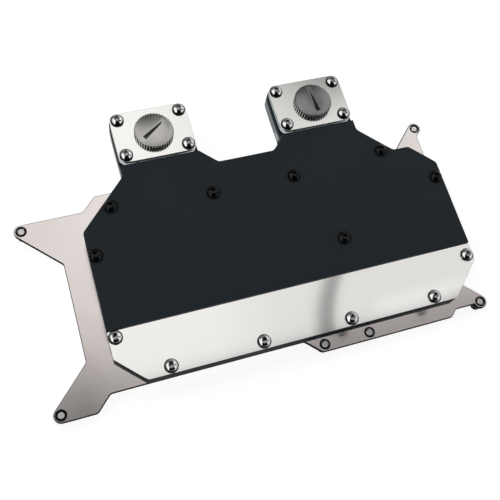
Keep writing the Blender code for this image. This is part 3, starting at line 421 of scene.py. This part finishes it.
# Painted shade: near black on the outer ring of the bright heads.
CHROME_RING_SHADE = grained_solid(
    "screw_ring_painted_shade", ((0.010, 0.010, 0.011), (0.030, 0.030, 0.031)), (0.20, 0.32), 1800.0, 0.000002, 1.0)
# Painted shade: darker grey on the walls and floor of the hexagon socket, for the shade in the recess.
SOCKET_SHADE = grained_solid(
    "screw_socket_painted_shade", ((0.26, 0.26, 0.265), (0.40, 0.40, 0.405)), (0.16, 0.28), 2600.0, 0.000003, 1.0)
BLACK_SCREW = grained_solid(
    "black_screw", ((0.0010, 0.0011, 0.0014), (0.0030, 0.0032, 0.0038)), (0.13, 0.20), 2500.0, 0.000001,
    Specular_IOR_Level=0.26)
RUBBER = grained_solid(
    "seal_rubber", ((0.010, 0.010, 0.011), (0.018, 0.018, 0.019)), (0.55, 0.75), 1800.0, 0.000004)
BLACK_STEEL = grained_solid(
    "blackened_steel", ((0.012, 0.013, 0.014), (0.030, 0.031, 0.032)), (0.32, 0.46), 2000.0, 0.000002, 1.0)
# Painted shade: near black in the knurl's valleys.
KNURL_VALLEY_SHADE = grained_solid(
    "knurl_valley_painted_shade", ((0.006, 0.006, 0.008), (0.018, 0.018, 0.021)), (0.45, 0.60), 2500.0, 0.000003, 0.8)
# Painted highlight: a lighter copy of the plug metal on the knurl's crests.
KNURL_CREST_HIGHLIGHT = grained_solid(
    "knurl_crest_painted_highlight", ((0.55, 0.545, 0.54), (0.75, 0.745, 0.74)), (0.20, 0.34), 2500.0, 0.000003, 1.0)
# Painted shade in the coin slot: near black on its walls, dark grey on its floor.
SLOT_WALL_SHADE = grained_solid(
    "slot_wall_painted_shade", ((0.006, 0.006, 0.006), (0.016, 0.0155, 0.015)), (0.50, 0.65), 2500.0, 0.000002)
SLOT_FLOOR_SHADE = grained_solid(
    "slot_floor_painted_shade", ((0.050, 0.048, 0.046), (0.110, 0.106, 0.102)), (0.35, 0.50), 2500.0, 0.000003, 0.8)


def smooth(mesh, angle=32):
    mesh.shade_smooth()
    mesh.set_sharp_from_angle(angle=math.radians(angle))


def as_piece(name, shape, materials, nodes=(), angle=32):
    """Turns a bmesh into a piece that rides on the body and stands for its nodes, if it has any."""
    mesh = bpy.data.meshes.new(name)
    shape.to_mesh(mesh)
    shape.free()
    for material in materials:
        mesh.materials.append(material)
    smooth(mesh, angle)
    piece = bpy.data.objects.new(name, mesh)
    bpy.context.scene.collection.objects.link(piece)
    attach(piece, "root")
    if nodes:
        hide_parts(*nodes)
    return piece


def spun(profile, sides):
    """A bmesh turned round Z from a profile of (radius, height)."""
    shape = bmesh.new()
    corners = [shape.verts.new((radius, 0, height)) for radius, height in profile]
    edges = [shape.edges.new(pair) for pair in zip(corners, corners[1:])]
    bmesh.ops.spin(shape, geom=corners + edges, cent=(0, 0, 0), axis=(0, 0, 1), angle=2 * math.pi, steps=sides,
                   use_merge=True)
    bmesh.ops.remove_doubles(shape, verts=shape.verts, dist=1e-7)
    return shape


def thread_profile(outer, inner, top, bottom, pitch, flanks=SCREWED_FLANKS):
    """Profile of a thread from top to bottom, going from the outer radius to the inner one and back."""
    points = []
    for index in range(int((top - bottom) / pitch)):
        height = top - index * pitch
        for radius, share in zip((outer, inner, inner, outer), flanks):
            points.append((radius, height - share * pitch))
    return points


def middle_of(node):
    low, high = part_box(node)
    return (low + high) / 2, low, high


def refill(shape):
    """Fills every level face anew between its outlines, after the corners have moved them."""
    shape.normal_update()
    level = [face for face in shape.faces if abs(face.normal.z) > 0.999]
    bmesh.ops.delete(shape, geom=level, context="FACES")
    heights = {}
    for line in shape.edges:
        if line.is_boundary:
            heights.setdefault(round(line.verts[0].co.z, 5), []).append(line)
    for lines in heights.values():
        bmesh.ops.triangle_fill(shape, edges=lines, use_beauty=True)
    bmesh.ops.recalc_face_normals(shape, faces=shape.faces)


def dress(node, materials, edge=PLATE_EDGE, pick=None, edge_finish=-1):
    """A plate's CAD shape with finer round corners and broken edges; pick gives each face its material."""
    shape = bmesh.new()
    shape.from_mesh(frame["nodes"][node].data)
    bmesh.ops.remove_doubles(shape, verts=shape.verts, dist=1e-6)
    bmesh.ops.dissolve_limit(shape, angle_limit=math.radians(0.5), verts=shape.verts, edges=shape.edges)
    corners = []
    for line in shape.edges:
        run = line.verts[1].co - line.verts[0].co
        upright = abs(run.z) > 0.9 * run.length
        if upright and line.is_manifold and CORNER_LOW < line.calc_face_angle() < CORNER_HIGH:
            corners.append(line)
    bmesh.ops.bevel(shape, geom=corners, offset=CORNER_SHARE, offset_type="PERCENT", affect="EDGES",
                    segments=2, profile=0.5, material=-1, clamp_overlap=True)
    refill(shape)
    if pick:
        for face in shape.faces:
            face.material_index = pick(face)
    piece = as_piece(node + "_dressed", shape, materials, [node], angle=BREAK_ANGLE)
    bevel = piece.modifiers.new("Broken edges", "BEVEL")
    bevel.width = edge
    bevel.segments = 2
    bevel.limit_method = "ANGLE"
    bevel.angle_limit = math.radians(BREAK_ANGLE)
    bevel.harden_normals = True
    bevel.use_clamp_overlap = False
    bevel.loop_slide = False
    bevel.material = edge_finish
    return piece


def is_side(face):
    return abs(face.normal.z) < SIDE_LIMIT


def cold_plate_shade_pick(face):
    """Painted shade on the rim round the body, a grey painted shade on the feet of the port towers, bright
    elsewhere.
    """
    middle = face.calc_center_median()
    if not is_side(face) or middle.z < RIM_BOTTOM:
        return 0
    return 1 if middle.y < TOWER_FRONT else 2


def make_screw(node, materials, turn):
    """Button-head screw: dome, hexagon socket and threaded shank."""
    centre, low, high = middle_of(node)
    head = (high.x - low.x) / 2
    under = high.z - HEAD_HEIGHT
    dome_middle = high.z - DOME_RADIUS * math.cos(DOME_START)
    profile = []
    for step in range(DOME_STEPS + 1):
        angle = DOME_START + (DOME_END - DOME_START) * step / DOME_STEPS
        profile.append((DOME_RADIUS * math.sin(angle), dome_middle + DOME_RADIUS * math.cos(angle)))
    profile += [(head, under + HEAD_RIM - DOME_FOOT), (head, under + HEAD_BREAK), (head - HEAD_BREAK, under)]
    profile += [(SHANK_RADIUS, under)]
    profile += thread_profile(SHANK_RADIUS, SHANK_RADIUS - THREAD_CUT, under - SHANK_NECK, low.z + SHANK_TIP,
                              THREAD_PITCH)
    profile += [(SHANK_RADIUS - SHANK_TIP, low.z), (0, low.z)]
    shape = spun(profile, SCREW_SIDES)
    rim = [line for line in shape.edges if line.is_boundary]
    socket = bmesh.ops.create_circle(shape, segments=6, radius=SOCKET_ACROSS / math.sqrt(3),
                                     matrix=Matrix.Translation((0, 0, high.z - SOCKET_DIP)))
    hexagon = list({line for corner in socket["verts"] for line in corner.link_edges})
    bmesh.ops.subdivide_edges(shape, edges=hexagon, cuts=SCREW_SIDES // 6 - 1)
    mouth = [line for line in shape.edges if line.is_wire]
    bmesh.ops.bridge_loops(shape, edges=rim + mouth)
    mouth = [line for line in shape.edges if line.is_boundary]
    sunk = bmesh.ops.extrude_edge_only(shape, edges=mouth)["geom"]
    lowered = [item for item in sunk if isinstance(item, bmesh.types.BMVert)]
    bmesh.ops.translate(shape, verts=lowered, vec=(0, 0, -SOCKET_DEPTH))
    floor = bmesh.ops.holes_fill(shape, edges=[line for line in shape.edges if line.is_boundary])["faces"]
    poked = bmesh.ops.poke(shape, faces=floor)["verts"]
    bmesh.ops.translate(shape, verts=poked, vec=(0, 0, -SOCKET_CONE))
    bmesh.ops.recalc_face_normals(shape, faces=shape.faces)
    # Bright heads get painted shade on the outer ring and in the socket.
    for face in shape.faces:
        middle = face.calc_center_median()
        if middle.z > under and middle.xy.length > SHADE_RING_START * head:
            face.material_index = 1
        elif middle.z > under and middle.xy.length < SOCKET_ACROSS / math.sqrt(3):
            face.material_index = 2
    bmesh.ops.rotate(shape, verts=shape.verts, cent=(0, 0, 0), matrix=Matrix.Rotation(turn, 3, "Z"))
    bmesh.ops.translate(shape, verts=shape.verts, vec=(centre.x, centre.y, 0))
    return as_piece(node + "_turned", shape, materials, [node])


def make_standoff(node):
    """Pressed-in standoff: bright pin, dark groove round it, barrel and blind thread."""
    centre, low, high = middle_of(node)
    barrel = (high.x - low.x) / 2
    groove = high.z - GROOVE_DEPTH
    profile = [
        (0, high.z - PIN_DIMPLE[1]), (PIN_DIMPLE[0], high.z), (PIN_FACE, high.z), (PIN_EDGE, high.z - 0.0002),
        (PIN_FOOT, groove), (GROOVE_RADIUS, groove), (GROOVE_RADIUS, COLLAR_HEIGHT),
        (barrel - BARREL_BREAK, COLLAR_HEIGHT), (barrel, COLLAR_HEIGHT - BARREL_BREAK),
        (barrel, BARREL_BREAK), (barrel - BARREL_BREAK, 0), (BLIND_MOUTH, 0), (BLIND_ROOT, BARREL_BREAK),
    ]
    for index in range(BLIND_TURNS):
        height = 0.0003 + index * THREAD_PITCH
        profile += [(BLIND_CREST, height + 0.0002), (BLIND_ROOT, height + 0.00045)]
    profile += [(BLIND_CREST, BLIND_DEPTH), (0, BLIND_TIP)]
    shape = spun(profile, 40)
    bmesh.ops.recalc_face_normals(shape, faces=shape.faces)
    for face in shape.faces:
        height = face.calc_center_median().z
        face.material_index = 0 if height > high.z - 0.00015 else 1
    bmesh.ops.translate(shape, verts=shape.verts, vec=(centre.x, centre.y, 0))
    return as_piece(node + "_turned", shape, [PIN_STEEL, BLACK_STEEL], [node])


def knurled_head(radius, top, bottom):
    """A round head whose ribs start at the rim of its face and end above its foot."""
    count = KNURLS * len(KNURL_SHAPE)
    root = radius - KNURL_RISE
    levels = [                                  # height, radius, share of the ribs' rise
        (top, root - FACE_INSET, 0.0),
        (top - LIP_HEIGHT, root - LIP_INSET, 0.0),
        (top - KNURL_CHAMFER, root, 1.0),
        (bottom + KNURL_CHAMFER, root, 1.0),
        (bottom + LIP_HEIGHT, root - LIP_INSET, 0.0),
        (bottom, root - FACE_INSET, 0.0),
    ]
    shape = bmesh.new()
    current = bmesh.ops.create_circle(shape, segments=count, radius=1.0)["verts"]
    edges = list(shape.edges)
    for step, (height, reach, share) in enumerate(levels):
        if step:
            grown = bmesh.ops.extrude_edge_only(shape, edges=edges)["geom"]
            current = [item for item in grown if isinstance(item, bmesh.types.BMVert)]
            edges = [item for item in grown if isinstance(item, bmesh.types.BMEdge)]
        for vert in current:
            heading = math.atan2(vert.co.y, vert.co.x)
            index = round(heading / (2 * math.pi) * count)
            out = reach + share * KNURL_RISE * KNURL_SHAPE[index % len(KNURL_SHAPE)]
            vert.co = (out * math.cos(heading), out * math.sin(heading), height)
    bmesh.ops.holes_fill(shape, edges=[line for line in shape.edges if line.is_boundary])
    bmesh.ops.recalc_face_normals(shape, faces=shape.faces)
    # Ribs: painted shade in the valleys and a painted highlight on the crests.
    for face in shape.faces:
        reach = face.calc_center_median().xy.length
        if is_side(face):
            face.material_index = 1 if reach < root + HIGHLIGHT_SHARE * KNURL_RISE else 4
    return shape


def slot_cutter(side):
    """A saw's path with one straight wall; the other curves in to meet it at the far end."""
    half = SLOT_LENGTH / 2
    saw_radius = (half ** 2 + SLOT_DEPTH ** 2) / (2 * SLOT_DEPTH)
    shape = bmesh.new()
    bmesh.ops.create_cone(shape, cap_ends=True, segments=200, radius1=saw_radius, radius2=saw_radius,
                          depth=SLOT_WIDTH)
    bmesh.ops.rotate(shape, verts=shape.verts, cent=(0, 0, 0), matrix=Matrix.Rotation(math.pi / 2, 3, "X"))
    for vert in shape.verts:
        along = min(1.0, max(0.0, (vert.co.x + half) / SLOT_LENGTH))
        width = SLOT_WIDTH * max(SLOT_TIP, 1.0 - along ** 3)
        if vert.co.y * SLOT_LEANS[side] < 0:
            vert.co.y = SLOT_LEANS[side] * (SLOT_WIDTH / 2 - width)
    shape.normal_update()
    for face in shape.faces:
        # Painted shade: walls take the near-black one, the floor the dark grey one.
        face.material_index = 2 if abs(face.normal.y) > 0.7 else 3
    turn = Matrix.Rotation(SLOT_TURNS[side], 3, "Z")
    bmesh.ops.rotate(shape, verts=shape.verts, cent=(0, 0, 0), matrix=turn)
    return shape, saw_radius


def make_plug(side):
    """Knurled plug with a turned face, a sawn coin slot and a threaded end."""
    node = side + "_plug"
    centre, low, high = middle_of(node)
    head_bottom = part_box(side + "_port_plate")[1].z + HEAD_GAP
    metal = turned_metal("plug_metal_" + side, (centre.x, centre.y), PLUG_TONES[side], PLUG_ROUGHNESS,
                         PLUG_RINGS, 0.000002)
    finishes_and_painted_light = [metal, KNURL_VALLEY_SHADE, SLOT_WALL_SHADE, SLOT_FLOOR_SHADE, KNURL_CREST_HIGHLIGHT]
    ribbed = knurled_head((high.x - low.x) / 2, high.z, head_bottom)
    head = as_piece(node + "_turned", ribbed, finishes_and_painted_light, [node], angle=30)
    cutter, saw_radius = slot_cutter(side)
    bmesh.ops.translate(cutter, verts=cutter.verts, vec=(0, 0, high.z - SLOT_DEPTH + saw_radius))
    mesh = bpy.data.meshes.new("saw")
    cutter.to_mesh(mesh)
    cutter.free()
    for finish in finishes_and_painted_light:
        mesh.materials.append(finish)
    saw = bpy.data.objects.new("saw", mesh)
    bpy.context.scene.collection.objects.link(saw)
    cut = head.modifiers.new("Slot", "BOOLEAN")
    cut.operation = "DIFFERENCE"
    cut.solver = "EXACT"
    cut.object = saw
    bpy.context.view_layer.update()
    depsgraph = bpy.context.evaluated_depsgraph_get()
    slotted = bpy.data.meshes.new_from_object(head.evaluated_get(depsgraph))
    head.modifiers.clear()
    head.data = slotted
    slotted.transform(Matrix.Translation((centre.x, centre.y, 0)))
    smooth(slotted, 30)
    head.visible_glossy = False
    bpy.data.objects.remove(saw)
    profile = [(0, head_bottom + PLUG_END_LAP), (PLUG_END_RADIUS, head_bottom + PLUG_END_LAP)]
    profile += thread_profile(PLUG_END_RADIUS, PLUG_END_RADIUS - PLUG_END_CUT, head_bottom - PLUG_END_NECK,
                              low.z + PLUG_END_TIP, PORT_PITCH)
    profile += [(PLUG_END_RADIUS - PLUG_END_TIP, low.z), (0, low.z)]
    end = spun(profile, 48)
    bmesh.ops.translate(end, verts=end.verts, vec=(centre.x, centre.y, 0))
    bmesh.ops.recalc_face_normals(end, faces=end.faces)
    thread = as_piece(side + "_plug_thread", end, [metal])


def make_socket_thread(side):
    """Thread of the rear socket, seen from below in the bore."""
    centre, plug_end, _ = middle_of(side + "_plug")
    top = plug_end.z - THREAD_GAP
    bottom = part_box("cold_plate")[1].z - TAB_THICKNESS + THREAD_GAP
    profile = [(PORT_BORE, top)]
    profile += thread_profile(PORT_BORE, PORT_CREST, top, bottom, PORT_PITCH, TAPPED_FLANKS)
    outside = PORT_BORE + 0.00001
    profile += [(outside, profile[-1][1]), (outside, top), (PORT_BORE, top)]
    shape = spun(profile, 64)
    bmesh.ops.translate(shape, verts=shape.verts, vec=(centre.x, centre.y, 0))
    bmesh.ops.recalc_face_normals(shape, faces=shape.faces)
    thread = as_piece(side + "_socket_thread", shape, [NICKEL])


TOWER_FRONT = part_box("left_port_block")[0].y - 0.0002
RIM_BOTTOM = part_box("frame_plate")[1].z
# The frame's side faces and broken edges take the painted shade.
dress("frame_plate", [FRAME_STEEL, EDGE_SHADE], FRAME_EDGE, is_side, 1)
# The cold plate's rim and the steel strip's sides take the rim's painted shade.
body = [
    dress("cold_plate", [NICKEL, RIM_SHADE, NICKEL_FOOT_SHADE], pick=cold_plate_shade_pick),
    dress("housing", [HOUSING], SOFT_EDGE),
    dress("steel_strip", [STEEL, RIM_SHADE], pick=is_side),
]
for piece in body:
    piece.visible_glossy = False            # the bright sheets round them don't mirror their dark sides
dress("black_cover", [COVER])
for side in ("left", "right"):
    dress(side + "_port_block", [NICKEL], SOFT_EDGE)
    dress(side + "_port_plate", [PLATE_STEEL], SOFT_EDGE)
screw_nodes = sorted(name for name in frame["nodes"] if "screw" in name)
for index, name in enumerate(screw_nodes):
    bright = SLOTS[name] == "bright_screw"
    finishes_and_painted_light = [CHROME, CHROME_RING_SHADE, SOCKET_SHADE] if bright else [BLACK_SCREW] * 3
    make_screw(name, finishes_and_painted_light, math.radians(index * SCREW_TURN_STEP % 60))
for name in frame["nodes"]:
    if name.endswith("_standoff"):
        make_standoff(name)
for side in ("left", "right"):
    make_plug(side)
    make_socket_thread(side)
for name in ("fin_cover", "main_seal", "left_port_seal", "right_port_seal", "left_plug_seal",
             "right_plug_seal"):
    plain = frame["nodes"][name]
    plain.data.materials.clear()
    plain.data.materials.append(STEEL if SLOTS[name] == "satin_steel" else RUBBER)


def level_sheet(name, side, squares, middle):
    """A square sheet of the studio, lying level."""
    shape = bmesh.new()
    bmesh.ops.create_grid(shape, x_segments=squares, y_segments=squares, size=side / 2)
    bmesh.ops.translate(shape, verts=shape.verts, vec=middle)
    mesh = bpy.data.meshes.new(name)
    shape.to_mesh(mesh)
    shape.free()
    sheet = bpy.data.objects.new(name, mesh)
    bpy.context.scene.collection.objects.link(sheet)
    return sheet


def within(tree, value, reach):
    return math_node(tree, "LESS_THAN", math_node(tree, "ABSOLUTE", value), reach)


def make_floor():
    """Pale floor; mirror rays meet a darker one, with a sheen close to the block and a glow under it."""
    floor = level_sheet("floor", FLOOR_SIDE, 8, (0, 0, -FLOOR_DROP))
    material, tree, shader, coords = new_material(
        "pale_floor", 0.0, Roughness=0.8, Specular_IOR_Level=0.1, Emission_Color=(1, 1, 1, 1))
    rays = add(tree, "LightPath")
    mirrored = rays.outputs["Is Glossy Ray"]
    place = add(tree, "SeparateXYZ", {0: coords})
    along = within(tree, place.outputs["X"], BENEATH_REACH[0])
    across = within(tree, place.outputs["Y"], BENEATH_REACH[1])
    beneath = multiply(tree, along, across, BENEATH_GLOW)
    outward = length_of(tree, stretched(tree, coords, (1.0, 1.35, 0.0)))
    sheen = multiply(tree, ramp(tree, outward, *SHEEN_REACH, SHEEN, 0.0), mirrored)
    glow = add(tree, "Mix", {"Factor": rays.outputs["Is Camera Ray"], "A": either(tree, beneath, sheen),
                             "B": FLOOR_SEEN}, data_type="FLOAT")
    tree.links.new(glow.outputs[0], shader.inputs["Emission Strength"])
    speckle = noise(tree, coords, 400.0, Detail=3.0)
    pale = blend_colours(tree, speckle, (0.43, 0.43, 0.43), (0.46, 0.46, 0.46))
    far = ramp(tree, outward, 0.14, 0.20, 0.0, 1.0)
    dark = blend_colours(tree, far, (0.5, 0.52, 0.525), (0.05, 0.05, 0.052))
    colour = add(tree, "Mix", {"Factor": mirrored, "A": pale, "B": dark}, data_type="RGBA")
    tree.links.new(colour.outputs["Result"], shader.inputs["Base Color"])
    seen_from_below = add(tree, "NewGeometry").outputs["Backfacing"]
    clear = add(tree, "BsdfTransparent").outputs[0]
    mixed = add(tree, "MixShader", {0: seen_from_below, 1: shader.outputs[0], 2: clear}).outputs[0]
    tree.links.new(mixed, tree.nodes["Material Output"].inputs["Surface"])
    floor.data.materials.append(material)


def distance_to(tree, x, y, spot):
    across = math_node(tree, "POWER", math_node(tree, "SUBTRACT", x, spot[0]), 2.0)
    along = math_node(tree, "POWER", math_node(tree, "SUBTRACT", y, spot[1]), 2.0)
    return math_node(tree, "SQRT", math_node(tree, "ADD", across, along))


def bright_cloth(tree, x, y):
    """Light of the roof's rear part: even, with a fold, a dark patch and some soft shades."""
    lean = math_node(tree, "SUBTRACT", y, FOLD_PLACE[1])
    slant = multiply(tree, lean, FOLD_SLANT)
    bend = multiply(tree, math_node(tree, "POWER", lean, 2.0), FOLD_BEND)
    line = math_node(tree, "ADD", math_node(tree, "ADD", slant, bend), FOLD_PLACE[0])
    away = math_node(tree, "SUBTRACT", x, line)
    fold = either(tree, ramp(tree, away, -0.026, -0.003, 1.0, FOLD_SHADE),
                  ramp(tree, away, 0.004, 0.013, FOLD_SHADE, 1.0))
    fold = either(tree, fold, ramp(tree, y, 0.15, 0.24, FOLD_SHADE, 1.0))
    broad = either(tree, ramp(tree, x, 0.05, 0.17, 1.0, 0.87), ramp(tree, x, 0.25, 0.295, 0.87, 1.0))
    end = either(tree, ramp(tree, y, 0.070, 0.092, 1.0, 0.85), ramp(tree, y, 0.15, 0.25, 0.85, 1.0))
    end = either(tree, end, ramp(tree, x, 0.25, 0.29, 1.0, 0.85))
    to_patch = distance_to(tree, x, y, PATCH_PLACE)
    patch = ramp(tree, to_patch, 0.03, 0.15, 0.04, 0.92)
    haze = ramp(tree, to_patch, 0.12, 0.30, 0.95, 1.13)
    depth = ramp(tree, y, 0.05, 0.32, 0.90, 0.97)
    corner = ramp(tree, distance_to(tree, x, y, CORNER_PLACE), 0.02, 0.24, 0.76, 1.0)
    rear = math_node(tree, "SUBTRACT", y, multiply(tree, math_node(tree, "ABSOLUTE", x), 0.45))
    back = ramp(tree, rear, 0.42, 0.66, 1.0, 0.08)
    right = ramp(tree, x, 0.90, 1.50, 1.0, 0.75)
    return multiply(tree, fold, broad, end, patch, haze, depth, corner, back, right)


def front_windows(tree, x, y):
    """Light of the roof's front part: dark, with a window on the left and a weaker one on the right."""
    ahead = math_node(tree, "SUBTRACT", 0.05, y)
    leftward = math_node(tree, "ADD", x, multiply(tree, ahead, 0.75))
    left = ramp(tree, leftward, -0.26, -0.18, 1.0, 0.0)
    rightward = math_node(tree, "SUBTRACT", x, multiply(tree, ahead, 0.65))
    right = ramp(tree, rightward, 0.06, 0.14, 0.0, 1.0)
    right = multiply(tree, right, ramp(tree, y, -0.22, -0.12, RIGHT_WINDOW, 0.0))
    window = either(tree, left, right)
    window = multiply(tree, window, ramp(tree, y, -1.35, -1.2, 0.0, 1.0))
    return either(tree, window, DARK_ROOF)


def make_roof():
    """Tent roof, dark in front and bright behind; its edge lies further back at both ends."""
    roof = level_sheet("tent_roof", ROOF_SIDE, 4, (*ROOF_MIDDLE, ROOF_HEIGHT))
    material = bpy.data.materials.new("tent_cloth")
    material.use_nodes = True
    tree = material.node_tree
    tree.nodes.clear()
    coords = add(tree, "TexCoord").outputs["Object"]
    place = add(tree, "SeparateXYZ", {0: coords})
    x = place.outputs["X"]
    y = place.outputs["Y"]
    bright = bright_cloth(tree, x, y)
    dim = front_windows(tree, x, y)
    lifted = math_node(tree, "ADD", ramp(tree, x, -0.10, -0.045, 0.055, 0.0),
                       ramp(tree, x, 0.33, 0.42, 0.0, 0.008))
    edge = math_node(tree, "SUBTRACT", y, lifted)
    opening = ramp(tree, edge, *ROOF_EDGE, 0.0, 1.0)
    strength = add(tree, "Mix", {"Factor": opening, "A": dim, "B": bright}, data_type="FLOAT").outputs[0]
    strength = multiply(tree, strength, ROOF_LIGHT)
    straight = add(tree, "LightPath").outputs["Is Camera Ray"]
    strength = add(tree, "Mix", {"Factor": straight, "A": strength, "B": 1.0}, data_type="FLOAT").outputs[0]
    glow = add(tree, "Emission", {"Color": (1.0, 0.995, 0.985, 1), "Strength": strength}).outputs[0]
    output = add(tree, "OutputMaterial")
    tree.links.new(glow, output.inputs["Surface"])
    roof.data.materials.append(material)


def make_studio():
    """Floor, roof, and a faint room round them; the camera itself sees plain white behind everything."""
    make_floor()
    make_roof()
    world = bpy.data.worlds.new("studio")
    bpy.context.scene.world = world
    world.use_nodes = True
    tree = world.node_tree
    tree.nodes.clear()
    toward = add(tree, "SeparateXYZ", {0: add(tree, "TexCoord").outputs["Generated"]})
    right = ramp(tree, toward.outputs["X"], 0.15, 0.75, 0.0, ROOM_RIGHT)
    back = ramp(tree, toward.outputs["Y"], 0.10, 0.70, 0.0, ROOM_BACK)
    level = math_node(tree, "ADD", math_node(tree, "ADD", right, back), ROOM_ALL_ROUND)
    room = add(tree, "Background", {"Color": (0.97, 0.98, 1.0, 1), "Strength": level}).outputs[0]
    backdrop = add(tree, "Background", {"Color": (1, 1, 1, 1), "Strength": 1.0}).outputs[0]
    straight = add(tree, "LightPath").outputs["Is Camera Ray"]
    mixed = add(tree, "MixShader", {0: straight, 1: room, 2: backdrop}).outputs[0]
    output = add(tree, "OutputWorld")
    tree.links.new(mixed, output.inputs["Surface"])


def make_camera():
    data = bpy.data.cameras.new("camera")
    data.lens = CAMERA_LENS
    data.sensor_width = 36.0
    data.shift_x, data.shift_y = CAMERA_SHIFT
    data.clip_start = 0.01
    camera = bpy.data.objects.new("camera", data)
    camera.location = CAMERA_PLACE
    camera.rotation_euler = [math.radians(angle) for angle in CAMERA_TURN]
    bpy.context.scene.collection.objects.link(camera)
    bpy.context.scene.camera = camera
    bpy.context.scene.view_settings.view_transform = "Standard"


make_studio()
make_camera()
